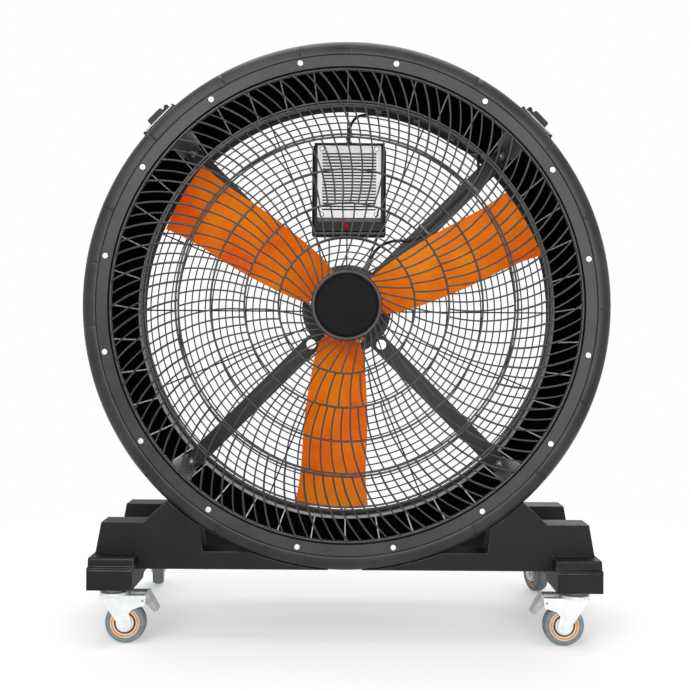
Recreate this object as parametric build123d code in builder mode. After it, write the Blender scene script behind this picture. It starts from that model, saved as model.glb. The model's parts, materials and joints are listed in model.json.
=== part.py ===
"""Large drum fan on four casters, in millimetres.

The origin is on the floor below the middle of the base, +Z is up, the fan's
axis runs along Y and the front guard faces -Y.  Depths are counted from the
drum's front face towards the back.  Clock angles are counted clockwise from
the top, seen from the front.
"""
import os
from math import acos, asin, cos, degrees, hypot, pi, radians, sin, sqrt, tan

from build123d import *

os.makedirs("parts", exist_ok=True)

# ---------------------------------------------------------------- clearances
SEAT = 0.3            # between pieces that seat on each other
WIRE_GAP = 0.4        # where two guard wires cross
PIN_GAP = 0.05        # radial play of a pin, bolt or shaft in its bore
SWING_GAP = 1.5       # between faces that pass each other

# ---------------------------------------------------------------- casters
WHEEL_RADIUS = 50.0
WHEEL_WIDTH = 32.0
TRAIL = 28.0
AXLE = 5.0            # radius
KING_PIN = 6.0        # radius
FORK_WALL = 3.0
FORK_TOP = 2 * WHEEL_RADIUS + 18.0
CASTER_PLATE = 4.0
CASTER_PLATE_LONG = 92.0
CASTER_PLATE_WIDE = 84.0
RACE_TALL = 8.0
RACE_RADIUS = 36.0
RACE_GAP = 1.0
CORE_RADIUS = 25.0
BAND_RADIUS = 36.0
AXLE_NUT = 9.0        # radius over the corners
PEDAL_AT = 72.0       # the pedal's pin: along the trail from the swivel, and its height
PEDAL_UP = FORK_TOP - 12.0
PEDAL_PIN = 3.0
PEDAL_WALL = 2.5
LEVER_START = 40.0
LEVER_END = PEDAL_AT + 7.6
LEVER_TALL = 6.0

# ---------------------------------------------------------------- base
BEAM_WIDE = 109.0
BASE_HALF = 322.5
CASTER_INSET_FRONT = 60.0   # from a foot's ends to its casters' swivels
CASTER_INSET_REAR = 63.0
END_LONG = 125.0      # the part of a foot that stands on a caster
FOOT_BOTTOM = FORK_TOP + 22.0
BEAM_BOTTOM = FOOT_BOTTOM + 12.0
STEP_LOW = FOOT_BOTTOM + 50.0
FOOT_STEP = 15.0      # how far the upper step stands back from the foot's end
FOOT_TOP = FOOT_BOTTOM + 73.0
BASE_WALL = 3.0
BASE_BOLT = 5.0       # radius
BASE_BOLT_X = 27.0    # each side of a foot's middle
BASE_BOLT_INSET = 12.7   # from a cradle's back face
CRADLE_THICK = 70.0
CRADLE_FRONT = 14.0   # depths of the cradles' front faces
CRADLE_REAR = 276.0
CRADLE_BOTTOM = FOOT_TOP - 36.0
CRADLE_BEAM_TOP = CRADLE_BOTTOM + 43.0
CRADLE_BLOCK_TOP = FOOT_TOP + 77.0
SADDLE_TOP = CRADLE_BLOCK_TOP + 55.0
SADDLE_EDGE = 4.1     # how far a cradle's top ends outside the drum
UNDER_DRUM = 4.0      # how far the cradles reach below the drum
STRAP_REACH = 110.0   # half width of the solid strap under the drum
GAP_START = 100.0     # the gap between a cradle and the drum, from the middle
GAP_TALL = 71.0
GAP_INSET = 157.5     # from its outer end to the long foot
BLOCK_INSETS = (5.0, 19.0, 11.0)   # a block's sides, stood in from the foot's faces

# ---------------------------------------------------------------- drum
BORE_RADIUS = 580.0
DRUM_WALL = 60.0      # shell, foam and lining together
DRUM_RADIUS = BORE_RADIUS + DRUM_WALL
AXIS_HEIGHT = CRADLE_BOTTOM + UNDER_DRUM + DRUM_RADIUS
FOOT_X = DRUM_RADIUS - 81.0   # middle of each long foot
FACE_Y = -272.5
DRUM_DEPTH = 418.0
SKIN = 3.0
LINER = 2.4
LINER_END = 340.0     # depth where the mesh lining stops
LIP_RISE = 5.0        # how far the front bead stands proud of the drum
LIP_DEPTH = 34.0
RING_WIDTH = 27.3     # the flat ring that carries the screws
RING_THICK = 6.0
RING_SCREWS = 16
RING_SCREW_RADIUS = BORE_RADIUS + 16.5
SCREW = 3.0           # radius
SCREW_HEAD = 7.2
SCREW_TALL = 3.2
SCREW_TAIL = 16.0
REAR_THICK = 5.7
GUARD_LEDGE = 7.0     # ledge that carries a guard's outer ring
LEDGE_THICK = 3.0
STRIPS_PER_SIDE = 11
STRIP_STEP = 8.4
STRIP_WIDTH = 3.0
STRIP_THICK = 1.0
PLATE_ANGLE = 5.6     # the black plates at the four diagonals
PLATE_THICK = 4.0
PLATE_END = 167.0

# ---------------------------------------------------------------- guards
GUARD_EDGE = BORE_RADIUS - 5.0    # radius of both guards' outer rings
EDGE_BAR = 8.0
GUARD_PITCH = (GUARD_EDGE - 1) / 7    # radial pitch of the front guard's rings
GUARD_BACK = 8.0      # depth of the front guard at its edge
GUARD_DOME = 31.0     # how far its middle stands forward of the edge
RING_WIRE = 5.0
FRONT_WIRE = 5.0
BACK_WIRE = 4.0
TWIN_GAP = 3.5        # half the distance between twin rings
HUB_RIM = 81.0
HUB_RIM_BAR = 9.0
DISC_THICK = 5.0
WIRE_END = 0.6        # how far a spoke's end stops short of a shared ring's middle
OUTER_SPOKES = 112
MIDDLE_SPOKES = 84
INNER_SPOKES = 52
CORE_SPOKES = 36
REAR_GUARD_DEPTH = DRUM_DEPTH - 11.5
REAR_RINGS = 23
REAR_FIRST = GUARD_EDGE - 15.0
REAR_LAST = 132.1
REAR_PLATE = 120.0    # radius of the plate in its middle
REAR_PITCH = (REAR_FIRST - REAR_LAST) / (REAR_RINGS - 1)
REAR_WIRE = 3.6
REAR_SPOKE_WIRE = 4.0
REAR_SPOKES = 16

# ---------------------------------------------------------------- rotor
BLADES = 3
BLADE_CLOCK = 63.9
TIP_RADIUS = BORE_RADIUS - 60.0
BLADE_DEPTH = 168.0   # depth of the blades' middle
BLADE_LEAN = 9.0      # how far the root sits clockwise of the tip
EDGE_THICK = 2.4
# share of the span, half width, half depth, bow, thickness
BLADE_SECTIONS = [
    (0.00, 47.0, 35.0, 6.0, 11.0),
    (0.10, 62.0, 40.0, 8.0, 9.0),
    (0.22, 70.5, 38.5, 9.5, 8.0),
    (0.42, 80.0, 35.0, 10.5, 7.0),
    (0.62, 83.0, 30.5, 10.5, 6.0),
    (0.82, 86.0, 28.0, 10.0, 5.5),
    (1.00, 98.0, 27.5, 9.0, 5.0),
]
HUB_FLAT = 72.0       # axis to the faces that carry the blades
HUB_LENGTH = 84.0
SHAFT_RADIUS = 14.0
FOOT_LENGTH = 104.0
FOOT_WIDTH = 78.0
FOOT_THICK = 8.0
FOOT_BOLT_INSET = 13.0
HUB_BOLT = 4.0        # radius

# ---------------------------------------------------------------- motor, struts
STRUT_DEPTH = 250.0
STRUT_WIDTH = 46.0
STRUT_DEEP = 20.0
STRUT_WALL = 3.0
STRUT_INNER = 120.0
STRUT_CLOCKS = (45, 135, 225, 315)
FOOT_BOLT_DEPTH = 205.0
WALL_BOLT = 5.0       # radius
BOLT_HEAD_TALL = 7.0
MOUNT_THICK = 6.0
MOUNT_BOLT_RADIUS = 133.0
MOUNT_BOLT = 6.0      # radius
MOTOR_RADIUS = 110.0
MOTOR_FIN = 6.0
MOTOR_FINS = 36
MOTOR_LENGTH = 115.0
COVER_THICK = 17.0
MOTOR_WALL = 10.0
BEARING_RADIUS = 26.0
BEARING_WIDTH = 12.0
STATOR_BORE = 62.0
CORE_GAP = 1.0
AIR_GAP = 12.0        # from the windings to the covers

GLAND_CLOCK = 25.0
GLAND_DEPTH = STRUT_DEPTH + 28.0
GLAND_THREAD = 7.0    # radius
GLAND_NUT = 11.0      # radius
GLAND_END = 152.0
GLAND_HEX = 9.0
LEAD = 4.0            # radius
TIE_WIDTH = 6.0
TIE_RADII = (296.0, 470.0)
CLIP_CLOCKS = (31.2, 19.6, 9.0)
CLIP_ANGLE = 1.2
CLIP_WIDE = 10.0

# ---------------------------------------------------------------- control box
BOX_X = 5.0
BOX_LOW = 212.4       # above the axis, outside of its frame
BOX_WIDE = 211.0
BOX_TALL = 253.6
BOX_FRAME = 6.0
BOX_FRONT = 330.0     # depths
BOX_BACK = 445.0
BOX_WALL = 4.0
COVER_WIDE = 176.0
COVER_TALL = BOX_TALL - 53.6
COVER_PLATE = 2.5
SLOTS = 19
SLOT_PITCH = (COVER_TALL - 36.6) / SLOTS
SLOT_TALL = 4.2
COVER_SCREW = 2.0     # radius
SWITCH_WIDE = 22.0
SWITCH_TALL = 30.0
SWITCH_DEEP = 18.0
BEZEL = 4.0
BEZEL_THICK = 2.5
ROCKER_HALF = 13.6
ROCKER_TILT = 8.0     # off, pressed in at the top
KNOB_RADIUS = 18.0
KNOB_TALL = 18.0
KNOB_STEM = 4.0
INLET_RADIUS = 12.0
BOARD_STAND = 50.0    # from the box's back wall to the circuit board

# ---------------------------------------------------------------- handles
HANDLE_CLOCKS = (-45.5, 45.5)
HANDLE_WIDE = 104.0
HANDLE_LONG = 150.0
HANDLE_START = 36.0   # depth of its front edge
HANDLE_PAD = 10.0
HANDLE_PLATE = 6.0
GRIP_WIDE = 46.0
GRIP_THICK = 17.0
GRIP_BAR = 20.0
GRIP_LIFT = 2.2       # above its plate
LEG_LONG = 12.0
LEG_EYE = 4.5
HINGE_SIDE = 34.0
HINGE_LIFT = 7.0      # above the plate
HINGE_PIN = 3.0
LUG_THICK = 7.0
LUG_INSET = 6.0

FAN_AXIS = Axis((0, 0, AXIS_HEIGHT), (0, 1, 0))
SIDE_PLANE = Plane.XY.offset(AXIS_HEIGHT)


def depth(value):
    """The Y of a depth behind the drum's front face."""
    return FACE_Y + value


def face_plane(at_depth, x=0.0, up=0.0):
    """A plane square to the fan's axis, facing the front, placed from that axis."""
    origin = (x, depth(at_depth), AXIS_HEIGHT + up)
    return Plane(origin=origin, x_dir=(1, 0, 0), z_dir=(0, -1, 0))


def profile(corners):
    """A flat outline of (radius, depth) corners beside the fan's axis."""
    with BuildSketch(SIDE_PLANE) as sketch:
        with BuildLine():
            Polyline(*[(radius, depth(back)) for radius, back in corners], close=True)
        make_face()
    return sketch.sketch


def band(inner, outer, front, back):
    """The outline of a plain ring between two radii and two depths."""
    return profile([(inner, front), (outer, front), (outer, back), (inner, back)])


def around(piece, clocks):
    """Copies of a piece that is made at the top, turned to each clock angle."""
    return [piece.rotate(FAN_AXIS, clock) for clock in clocks]


def even(count, first=0.0):
    """Evenly spaced clock angles."""
    return [first + 360 / count * step for step in range(count)]


def arc_piece(inner, outer, front, back, angle):
    """A piece of a ring, centred on the top."""
    with BuildPart() as piece:
        revolve(band(inner, outer, front, back), axis=FAN_AXIS, revolution_arc=angle)
    return piece.part.rotate(FAN_AXIS, -90 - angle / 2)


def radial_peg(radius, inner, outer, at_depth, clock=0.0):
    """A round peg that points away from the fan's axis."""
    with BuildPart() as peg:
        with BuildSketch(Plane.XY.offset(AXIS_HEIGHT + inner)):
            with Locations((0, depth(at_depth))):
                Circle(radius)
        extrude(amount=outer - inner)
    return peg.part.rotate(FAN_AXIS, clock)


def axial_peg(radius, front, back, from_axis=0.0, clock=0.0):
    """A round peg along the fan's axis, between two depths."""
    with BuildPart() as peg:
        with BuildSketch(face_plane(front, up=from_axis)):
            Circle(radius)
        extrude(amount=front - back)
    return peg.part.rotate(FAN_AXIS, clock)


def tube(path, radius):
    """A round tube along a line or an arc."""
    with BuildPart() as piece:
        with BuildSketch(Plane(origin=path @ 0, z_dir=path % 0)):
            Circle(radius)
        sweep(path=path)
    return piece.part


def save(block, name):
    """Label a finished piece and write it."""
    block.part.label = name
    export_step(block.part, f"parts/{name}.step")


# ================================================================ drum
RING_EDGE = BORE_RADIUS + RING_WIDTH
FLANGE_DEPTH = RING_THICK + SEAT
LIP_RADIUS = DRUM_RADIUS + LIP_RISE
COLLAR_RADIUS = BORE_RADIUS + LINER
REAR_FACE = DRUM_DEPTH - REAR_THICK
SCREW_CLOCKS = even(RING_SCREWS, 180 / RING_SCREWS)
RING_BAR = EDGE_BAR / 2
FRONT_LEDGE = GUARD_BACK + RING_BAR + SEAT
COLLAR_END = FRONT_LEDGE + LEDGE_THICK
FOAM_START = LIP_DEPTH + 2


def drum_outline():
    """The rolled front bead, the skin and the flange that takes the screws."""
    groove = RING_EDGE + SEAT
    inner = DRUM_RADIUS - SKIN
    flange_back = FLANGE_DEPTH + SKIN
    end = REAR_FACE - SEAT
    return [
        (DRUM_RADIUS, end),
        (DRUM_RADIUS, LIP_DEPTH + 2),
        (LIP_RADIUS, LIP_DEPTH - 4),
        (LIP_RADIUS, LIP_DEPTH - 14),
        (LIP_RADIUS - 7, 8),
        (LIP_RADIUS - 19, 1.5),
        (groove + 5, 0),
        (groove, 0),
        (groove, FLANGE_DEPTH),
        (BORE_RADIUS + 8, FLANGE_DEPTH),
        (BORE_RADIUS + 8, flange_back),
        (groove + SKIN, flange_back),
        (groove + SKIN, SKIN),
        (LIP_RADIUS - 19 - SKIN / 3, SKIN + 1.5),
        (LIP_RADIUS - 7 - SKIN * 0.8, 8 + SKIN),
        (LIP_RADIUS - SKIN, LIP_DEPTH - 13),
        (LIP_RADIUS - SKIN, LIP_DEPTH - 5),
        (inner, LIP_DEPTH),
        (inner, end),
    ]


def wall_bolt_holes():
    """Bores for the four bolts that carry the struts, through the whole wall."""
    hole = radial_peg(WALL_BOLT + PIN_GAP, STRUT_END - 20, LIP_RADIUS, FOOT_BOLT_DEPTH)
    return around(hole, STRUT_CLOCKS)


def ring_screw_holes():
    """Bores for the screws around the front ring."""
    hole = axial_peg(SCREW + PIN_GAP, -1, SCREW_TAIL + 1, RING_SCREW_RADIUS)
    return around(hole, SCREW_CLOCKS)


STRUT_END = BORE_RADIUS - STRIP_THICK - PLATE_THICK - SEAT

with BuildPart() as drum_shell:
    revolve(profile(drum_outline()), axis=FAN_AXIS)
    add(ring_screw_holes(), mode=Mode.SUBTRACT)
    add(wall_bolt_holes(), mode=Mode.SUBTRACT)
save(drum_shell, "drum_shell")

with BuildPart() as front_ring:
    revolve(
        profile([
            (BORE_RADIUS, 0),
            (RING_EDGE, 0),
            (RING_EDGE, RING_THICK),
            (COLLAR_RADIUS, RING_THICK),
            (COLLAR_RADIUS, COLLAR_END),
            (BORE_RADIUS - GUARD_LEDGE, COLLAR_END),
            (BORE_RADIUS - GUARD_LEDGE, FRONT_LEDGE),
            (BORE_RADIUS, FRONT_LEDGE),
        ]),
        axis=FAN_AXIS,
    )
    add(ring_screw_holes(), mode=Mode.SUBTRACT)
save(front_ring, "front_ring")

REAR_LEDGE = REAR_GUARD_DEPTH - RING_BAR - SEAT

with BuildPart() as rear_ring:
    revolve(
        profile([
            (DRUM_RADIUS, REAR_FACE),
            (DRUM_RADIUS, DRUM_DEPTH),
            (BORE_RADIUS + 3, DRUM_DEPTH),
            (BORE_RADIUS, DRUM_DEPTH - 2),
            (BORE_RADIUS, REAR_LEDGE),
            (BORE_RADIUS - GUARD_LEDGE, REAR_LEDGE),
            (BORE_RADIUS - GUARD_LEDGE, REAR_LEDGE - LEDGE_THICK),
            (BORE_RADIUS, REAR_LEDGE - LEDGE_THICK),
            (BORE_RADIUS, LINER_END + SEAT),
            (COLLAR_RADIUS, LINER_END + SEAT),
            (COLLAR_RADIUS, REAR_FACE),
        ]),
        axis=FAN_AXIS,
    )
save(rear_ring, "rear_ring")

with BuildPart() as acoustic_foam:
    foam_band = band(COLLAR_RADIUS + SEAT, DRUM_RADIUS - SKIN - SEAT, FOAM_START, REAR_FACE - SEAT)
    revolve(foam_band, axis=FAN_AXIS)
    add(wall_bolt_holes(), mode=Mode.SUBTRACT)
save(acoustic_foam, "acoustic_foam")

with BuildPart() as wall_liner:
    revolve(band(BORE_RADIUS, COLLAR_RADIUS, COLLAR_END + SEAT, LINER_END), axis=FAN_AXIS)
    add(wall_bolt_holes(), mode=Mode.SUBTRACT)
save(wall_liner, "wall_liner")


def strip_clocks():
    """Where the thin strips run: evenly across each quarter, centred on it."""
    reach = (STRIPS_PER_SIDE - 1) / 2
    steps = [STRIP_STEP * (step - reach) for step in range(STRIPS_PER_SIDE)]
    return [quarter + step for quarter in (0, 90, 180, 270) for step in steps]


with BuildPart() as liner_strips:
    strip_face = BORE_RADIUS - SEAT
    strip = arc_piece(
        strip_face - STRIP_THICK,
        strip_face,
        COLLAR_END + 1,
        LINER_END - 1,
        degrees(STRIP_WIDTH / BORE_RADIUS),
    )
    add(around(strip, strip_clocks()))
save(liner_strips, "liner_strips")

with BuildPart() as wall_plates:
    plate_face = BORE_RADIUS - SEAT
    plate = arc_piece(
        plate_face - PLATE_THICK, plate_face, COLLAR_END + 1, PLATE_END, PLATE_ANGLE
    )
    add(around(plate, STRUT_CLOCKS))
save(wall_plates, "wall_plates")


# ================================================================ front guard
def dome(radius):
    """Depth of the front guard's rings at a radius: a shallow dish."""
    return GUARD_BACK - GUARD_DOME * (1 - (radius / GUARD_EDGE) ** 2)


def guard_point(radius, clock, behind):
    """A point on the guard, a little behind the rings' own depth."""
    turn = radians(clock)
    return (
        radius * sin(turn),
        depth(dome(radius) + behind),
        AXIS_HEIGHT + radius * cos(turn),
    )


def spoke(corners, wire):
    """One bowed spoke through three corners: radius, clock and how far behind the dish."""
    return tube(ThreePointArc(*[guard_point(*corner) for corner in corners]), wire / 2)


def behind(ring_wire, spoke_wire):
    """How far a spoke's middle lies from the middle of a ring that it crosses."""
    return (ring_wire + spoke_wire) / 2 + WIRE_GAP


FRONT = -behind(RING_WIRE, FRONT_WIRE)
BACK = behind(RING_WIRE, BACK_WIRE)
RING_2, RING_3, RING_4, RING_5, RING_6 = (GUARD_PITCH * n for n in (2, 3, 4, 5, 6))

with BuildPart() as front_guard_rings:
    twins = [RING_6 + TWIN_GAP, RING_6 - TWIN_GAP, RING_5 + TWIN_GAP, RING_5 - TWIN_GAP]
    with BuildSketch(SIDE_PLANE):
        with Locations(*[(r, depth(dome(r))) for r in twins + [RING_4, RING_3, RING_2]]):
            Circle(RING_WIRE / 2)
        with Locations((GUARD_EDGE, depth(GUARD_BACK))):
            Circle(RING_BAR)
        with Locations((HUB_RIM, depth(dome(HUB_RIM)))):
            Circle(HUB_RIM_BAR / 2)
    revolve(axis=FAN_AXIS)
save(front_guard_rings, "front_guard_rings")

with BuildPart() as front_guard_outer_spokes:
    front_spoke = spoke(
        [
            (GUARD_EDGE, -0.95, -behind(EDGE_BAR, FRONT_WIRE)),
            (RING_6, 4.35, FRONT),
            (RING_5 - TWIN_GAP, 7.8, FRONT),
        ],
        FRONT_WIRE,
    )
    back_spoke = spoke(
        [
            (GUARD_EDGE - RING_BAR - 3 * WIRE_GAP, -0.5, WIRE_GAP),
            (RING_6, 4.35, BACK),
            (RING_5 + WIRE_END, 7.6, BACK),
        ],
        BACK_WIRE,
    )
    add(around(front_spoke, even(OUTER_SPOKES // 2)))
    add(around(back_spoke, even(OUTER_SPOKES // 2, 360 / OUTER_SPOKES)))
save(front_guard_outer_spokes, "front_guard_outer_spokes")

with BuildPart() as front_guard_inner_spokes:
    middle_corners = [
        (RING_5 - WIRE_END, 3.64, BACK),
        (RING_4, 6.2, BACK),
        (RING_3 + WIRE_END, 5.95, BACK),
    ]
    inner_corners = [
        (RING_3 - WIRE_END, 4.16, BACK),
        (205.0, 3.98, BACK),
        (RING_2 + WIRE_END, 1.95, BACK),
    ]
    core_corners = [
        (RING_2 - WIRE_END, 4.5, BACK),
        (125.0, 0.0, BACK + 1),
        (HUB_RIM, -15.0, behind(HUB_RIM_BAR, BACK_WIRE)),
    ]
    add(around(spoke(middle_corners, BACK_WIRE), even(MIDDLE_SPOKES)))
    add(around(spoke(inner_corners, BACK_WIRE), even(INNER_SPOKES)))
    add(around(spoke(core_corners, BACK_WIRE), even(CORE_SPOKES)))
save(front_guard_inner_spokes, "front_guard_inner_spokes")

with BuildPart() as guard_hub_disc:
    rim_inner = HUB_RIM - HUB_RIM_BAR / 2 - SEAT
    disc_middle = dome(0)
    revolve(
        profile([
            (0, disc_middle - DISC_THICK / 2),
            (rim_inner - 6, disc_middle - DISC_THICK / 2),
            (rim_inner, disc_middle + 1),
            (rim_inner, disc_middle + DISC_THICK / 2),
            (0, disc_middle + DISC_THICK / 2),
        ]),
        axis=FAN_AXIS,
    )
save(guard_hub_disc, "guard_hub_disc")


def round_screw(radius, head_radius, head_tall, tail, from_axis):
    """A round-headed screw on the drum's face, at the top."""
    with BuildPart() as screw:
        with BuildSketch(face_plane(-SEAT, up=from_axis)):
            Circle(head_radius)
        extrude(amount=head_tall)
        fillet(screw.faces().sort_by(Axis.Y)[0].edges(), head_tall * 0.75)
        with BuildSketch(face_plane(-SEAT, up=from_axis)):
            Circle(radius)
        extrude(amount=-SEAT - tail)
    return screw.part


# ================================================================ rear guard
BOX_MIDDLE_UP = BOX_LOW + BOX_TALL / 2
REAR_SPOKE_DEPTH = REAR_GUARD_DEPTH - (REAR_WIRE + REAR_SPOKE_WIRE) / 2 - WIRE_GAP
WINDOW_LOW = BOX_LOW - WIRE_GAP
WINDOW_HIGH = BOX_LOW + BOX_TALL + WIRE_GAP
WINDOW_HALF = BOX_WIDE / 2 + WIRE_GAP


def box_window(front, back):
    """The space that the control box and its frame take up in the rear guard."""
    with BuildPart() as window:
        with BuildSketch(face_plane(front, x=BOX_X, up=BOX_MIDDLE_UP)):
            Rectangle(2 * WINDOW_HALF, WINDOW_HIGH - WINDOW_LOW)
        extrude(amount=front - back)
    return window.part


def window_clock(radius, side):
    """How far round a circle leaves the window on one side, in degrees from the top."""
    wall = WINDOW_HALF + side * BOX_X
    if radius < hypot(wall, WINDOW_LOW):
        return degrees(acos(min(1, WINDOW_LOW / radius)))
    return degrees(asin(wall / radius))


def rear_ring_wire(radius, wire):
    """One ring of the rear guard, open where the control box's frame is in its way."""
    sides = (radius - wire / 2, radius + wire / 2)
    left, right = (max(window_clock(side, way) for side in sides) for way in (-1, 1))
    if sides[1] < WINDOW_LOW or sides[0] > hypot(WINDOW_HALF + BOX_X, WINDOW_HIGH):
        left = right = 0
    with BuildPart() as ring:
        with BuildSketch(SIDE_PLANE):
            with Locations((radius, depth(REAR_GUARD_DEPTH))):
                Circle(wire / 2)
        revolve(axis=FAN_AXIS, revolution_arc=360 - left - right)
    return ring.part.rotate(FAN_AXIS, right - 90)


with BuildPart() as rear_guard_rings:
    for ring_number in range(REAR_RINGS):
        add(rear_ring_wire(REAR_FIRST - REAR_PITCH * ring_number, REAR_WIRE))
    add(rear_ring_wire(GUARD_EDGE, EDGE_BAR))
    with BuildSketch(face_plane(REAR_GUARD_DEPTH - REAR_WIRE / 2)):
        Circle(REAR_PLATE)
    extrude(amount=-REAR_WIRE)
save(rear_guard_rings, "rear_guard_rings")

with BuildPart() as rear_guard_spokes:
    spoke_start = REAR_PLATE - 2 * REAR_SPOKE_WIRE
    spoke_end = GUARD_EDGE - RING_BAR - WIRE_GAP
    rear_spoke = radial_peg(REAR_SPOKE_WIRE / 2, spoke_start, spoke_end, REAR_SPOKE_DEPTH)
    add(around(rear_spoke, even(REAR_SPOKES)))
    add(box_window(REAR_GUARD_DEPTH - 10, REAR_GUARD_DEPTH + 10), mode=Mode.SUBTRACT)
save(rear_guard_spokes, "rear_guard_spokes")


# ================================================================ struts
PLATE_FACE = BORE_RADIUS - SEAT
FOOT_ANGLE = degrees(STRUT_WIDTH / BORE_RADIUS)
FOOT_START = PLATE_END + 3.0
FOOT_FACE = PLATE_FACE - PLATE_THICK
STRUT_OUTER = sqrt((FOOT_FACE - SEAT) ** 2 - (STRUT_WIDTH / 2) ** 2)

with BuildPart() as strut_feet:
    strut_foot = arc_piece(
        FOOT_FACE, PLATE_FACE, FOOT_START, STRUT_DEPTH + STRUT_DEEP, FOOT_ANGLE
    )
    add(around(strut_foot, STRUT_CLOCKS))
    add(wall_bolt_holes(), mode=Mode.SUBTRACT)
save(strut_feet, "strut_feet")


def strut():
    """One folded arm at the top, open towards the back."""
    middle = (STRUT_OUTER + STRUT_INNER) / 2
    with BuildPart() as arm:
        with BuildSketch(face_plane(STRUT_DEPTH, up=middle)):
            Rectangle(STRUT_WIDTH, STRUT_OUTER - STRUT_INNER)
        extrude(amount=-STRUT_DEEP)
        with BuildSketch(face_plane(STRUT_DEPTH + STRUT_WALL, up=middle)):
            Rectangle(STRUT_WIDTH - 2 * STRUT_WALL, STRUT_OUTER - STRUT_INNER + 2)
        extrude(amount=-STRUT_DEEP, mode=Mode.SUBTRACT)
        with BuildSketch(face_plane(STRUT_DEPTH, up=MOUNT_BOLT_RADIUS)):
            Circle(MOUNT_BOLT + PIN_GAP)
        extrude(amount=-STRUT_DEEP, mode=Mode.SUBTRACT)
    return arm.part


with BuildPart() as strut_arms:
    add(around(strut(), STRUT_CLOCKS))
save(strut_arms, "strut_arms")

MOUNT_FRONT = STRUT_DEPTH + STRUT_WALL + SEAT
MOUNT_BACK = MOUNT_FRONT + MOUNT_THICK
LUG_WIDTH = STRUT_WIDTH - 2 * STRUT_WALL - 2 * SEAT
LUG_END = MOUNT_BOLT_RADIUS + LUG_WIDTH / 2
MOUNT_DISC = STRUT_INNER - SEAT
MOUNT_BORE = BEARING_RADIUS + 8

with BuildPart() as motor_mount:
    with BuildSketch(face_plane(MOUNT_FRONT)):
        Circle(MOUNT_DISC)
        with PolarLocations((LUG_END + MOUNT_DISC - 20) / 2, 4, start_angle=45):
            Rectangle(LUG_END - MOUNT_DISC + 20, LUG_WIDTH)
        Circle(MOUNT_BORE, mode=Mode.SUBTRACT)
        with PolarLocations(MOUNT_BOLT_RADIUS, 4, start_angle=45):
            Circle(MOUNT_BOLT + PIN_GAP, mode=Mode.SUBTRACT)
    extrude(amount=-MOUNT_THICK)
save(motor_mount, "motor_mount")


def hex_bolt(radius, head_radius, head_front, tail):
    """A bolt along the fan's axis, with a washer face and a hexagon head."""
    with BuildPart() as bolt:
        with BuildSketch(face_plane(head_front, up=MOUNT_BOLT_RADIUS)):
            Circle(head_radius)
        extrude(amount=2)
        with BuildSketch(face_plane(head_front - 2, up=MOUNT_BOLT_RADIUS)):
            RegularPolygon(head_radius * 0.8, 6)
        extrude(amount=BOLT_HEAD_TALL)
        with BuildSketch(face_plane(head_front, up=MOUNT_BOLT_RADIUS)):
            Circle(radius)
        extrude(amount=head_front - tail)
    return bolt.part


def wall_bolt():
    """A long bolt through the drum's wall, with a dome head on both ends."""
    inside = FOOT_FACE - SEAT
    outside = DRUM_RADIUS + SEAT
    shank = radial_peg(WALL_BOLT, inside - 1, outside + 1, FOOT_BOLT_DEPTH)
    inner_head = radial_peg(WALL_BOLT * 2, inside - 6, inside, FOOT_BOLT_DEPTH)
    outer_head = radial_peg(WALL_BOLT * 2, outside, outside + 6, FOOT_BOLT_DEPTH)
    return shank + inner_head + outer_head


with BuildPart() as strut_bolts:
    mount_bolt = hex_bolt(MOUNT_BOLT, 13.0, STRUT_DEPTH - SEAT, MOUNT_BACK + 8)
    add(around(mount_bolt, STRUT_CLOCKS))
    add(around(wall_bolt(), STRUT_CLOCKS))
save(strut_bolts, "strut_bolts")


# ================================================================ motor
BARREL_FRONT = MOUNT_BACK + SEAT
BARREL_BACK = BARREL_FRONT + MOTOR_LENGTH
BARREL_BORE = MOTOR_RADIUS - MOTOR_FIN - MOTOR_WALL
COVER_FRONT = MOUNT_FRONT - SEAT - COVER_THICK
COVER_RADIUS = MOTOR_RADIUS - MOTOR_FIN
BACK_COVER_END = BARREL_BACK + SEAT + COVER_THICK

with BuildPart() as motor_housing:
    with BuildSketch(face_plane(BARREL_FRONT)):
        Circle(COVER_RADIUS)
        with PolarLocations(COVER_RADIUS, MOTOR_FINS):
            Rectangle(2 * MOTOR_FIN, 3)
        Circle(BARREL_BORE, mode=Mode.SUBTRACT)
    extrude(amount=-MOTOR_LENGTH)
    gland_bore = radial_peg(GLAND_THREAD + PIN_GAP, BARREL_BORE - 1, MOTOR_RADIUS, GLAND_DEPTH)
    gland_seat = radial_peg(GLAND_NUT + 1, COVER_RADIUS, MOTOR_RADIUS + 1, GLAND_DEPTH)
    add(around(gland_bore, [GLAND_CLOCK]), mode=Mode.SUBTRACT)
    add(around(gland_seat, [GLAND_CLOCK]), mode=Mode.SUBTRACT)
save(motor_housing, "motor_housing")


def cover_corners(outside, inside, bore):
    """A motor end cover with a bearing seat, from its outer face inwards."""
    way = 1 if inside > outside else -1
    return [
        (bore, outside),
        (COVER_RADIUS - 22, outside),
        (COVER_RADIUS, outside + way * 10),
        (COVER_RADIUS, inside),
        (BEARING_RADIUS + PIN_GAP, inside),
        (BEARING_RADIUS + PIN_GAP, inside - way * BEARING_WIDTH),
        (bore, inside - way * BEARING_WIDTH),
    ]


with BuildPart() as motor_front_cover:
    front_inside = MOUNT_FRONT - SEAT
    revolve(profile(cover_corners(COVER_FRONT, front_inside, SHAFT_RADIUS + 2)), axis=FAN_AXIS)
save(motor_front_cover, "motor_front_cover")

with BuildPart() as motor_rear_cover:
    revolve(
        profile(cover_corners(BACK_COVER_END, BARREL_BACK + SEAT, 0.0)), axis=FAN_AXIS
    )
save(motor_rear_cover, "motor_rear_cover")

FRONT_BEARING = front_inside - BEARING_WIDTH + SEAT
REAR_BEARING = BARREL_BACK + SEAT

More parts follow.
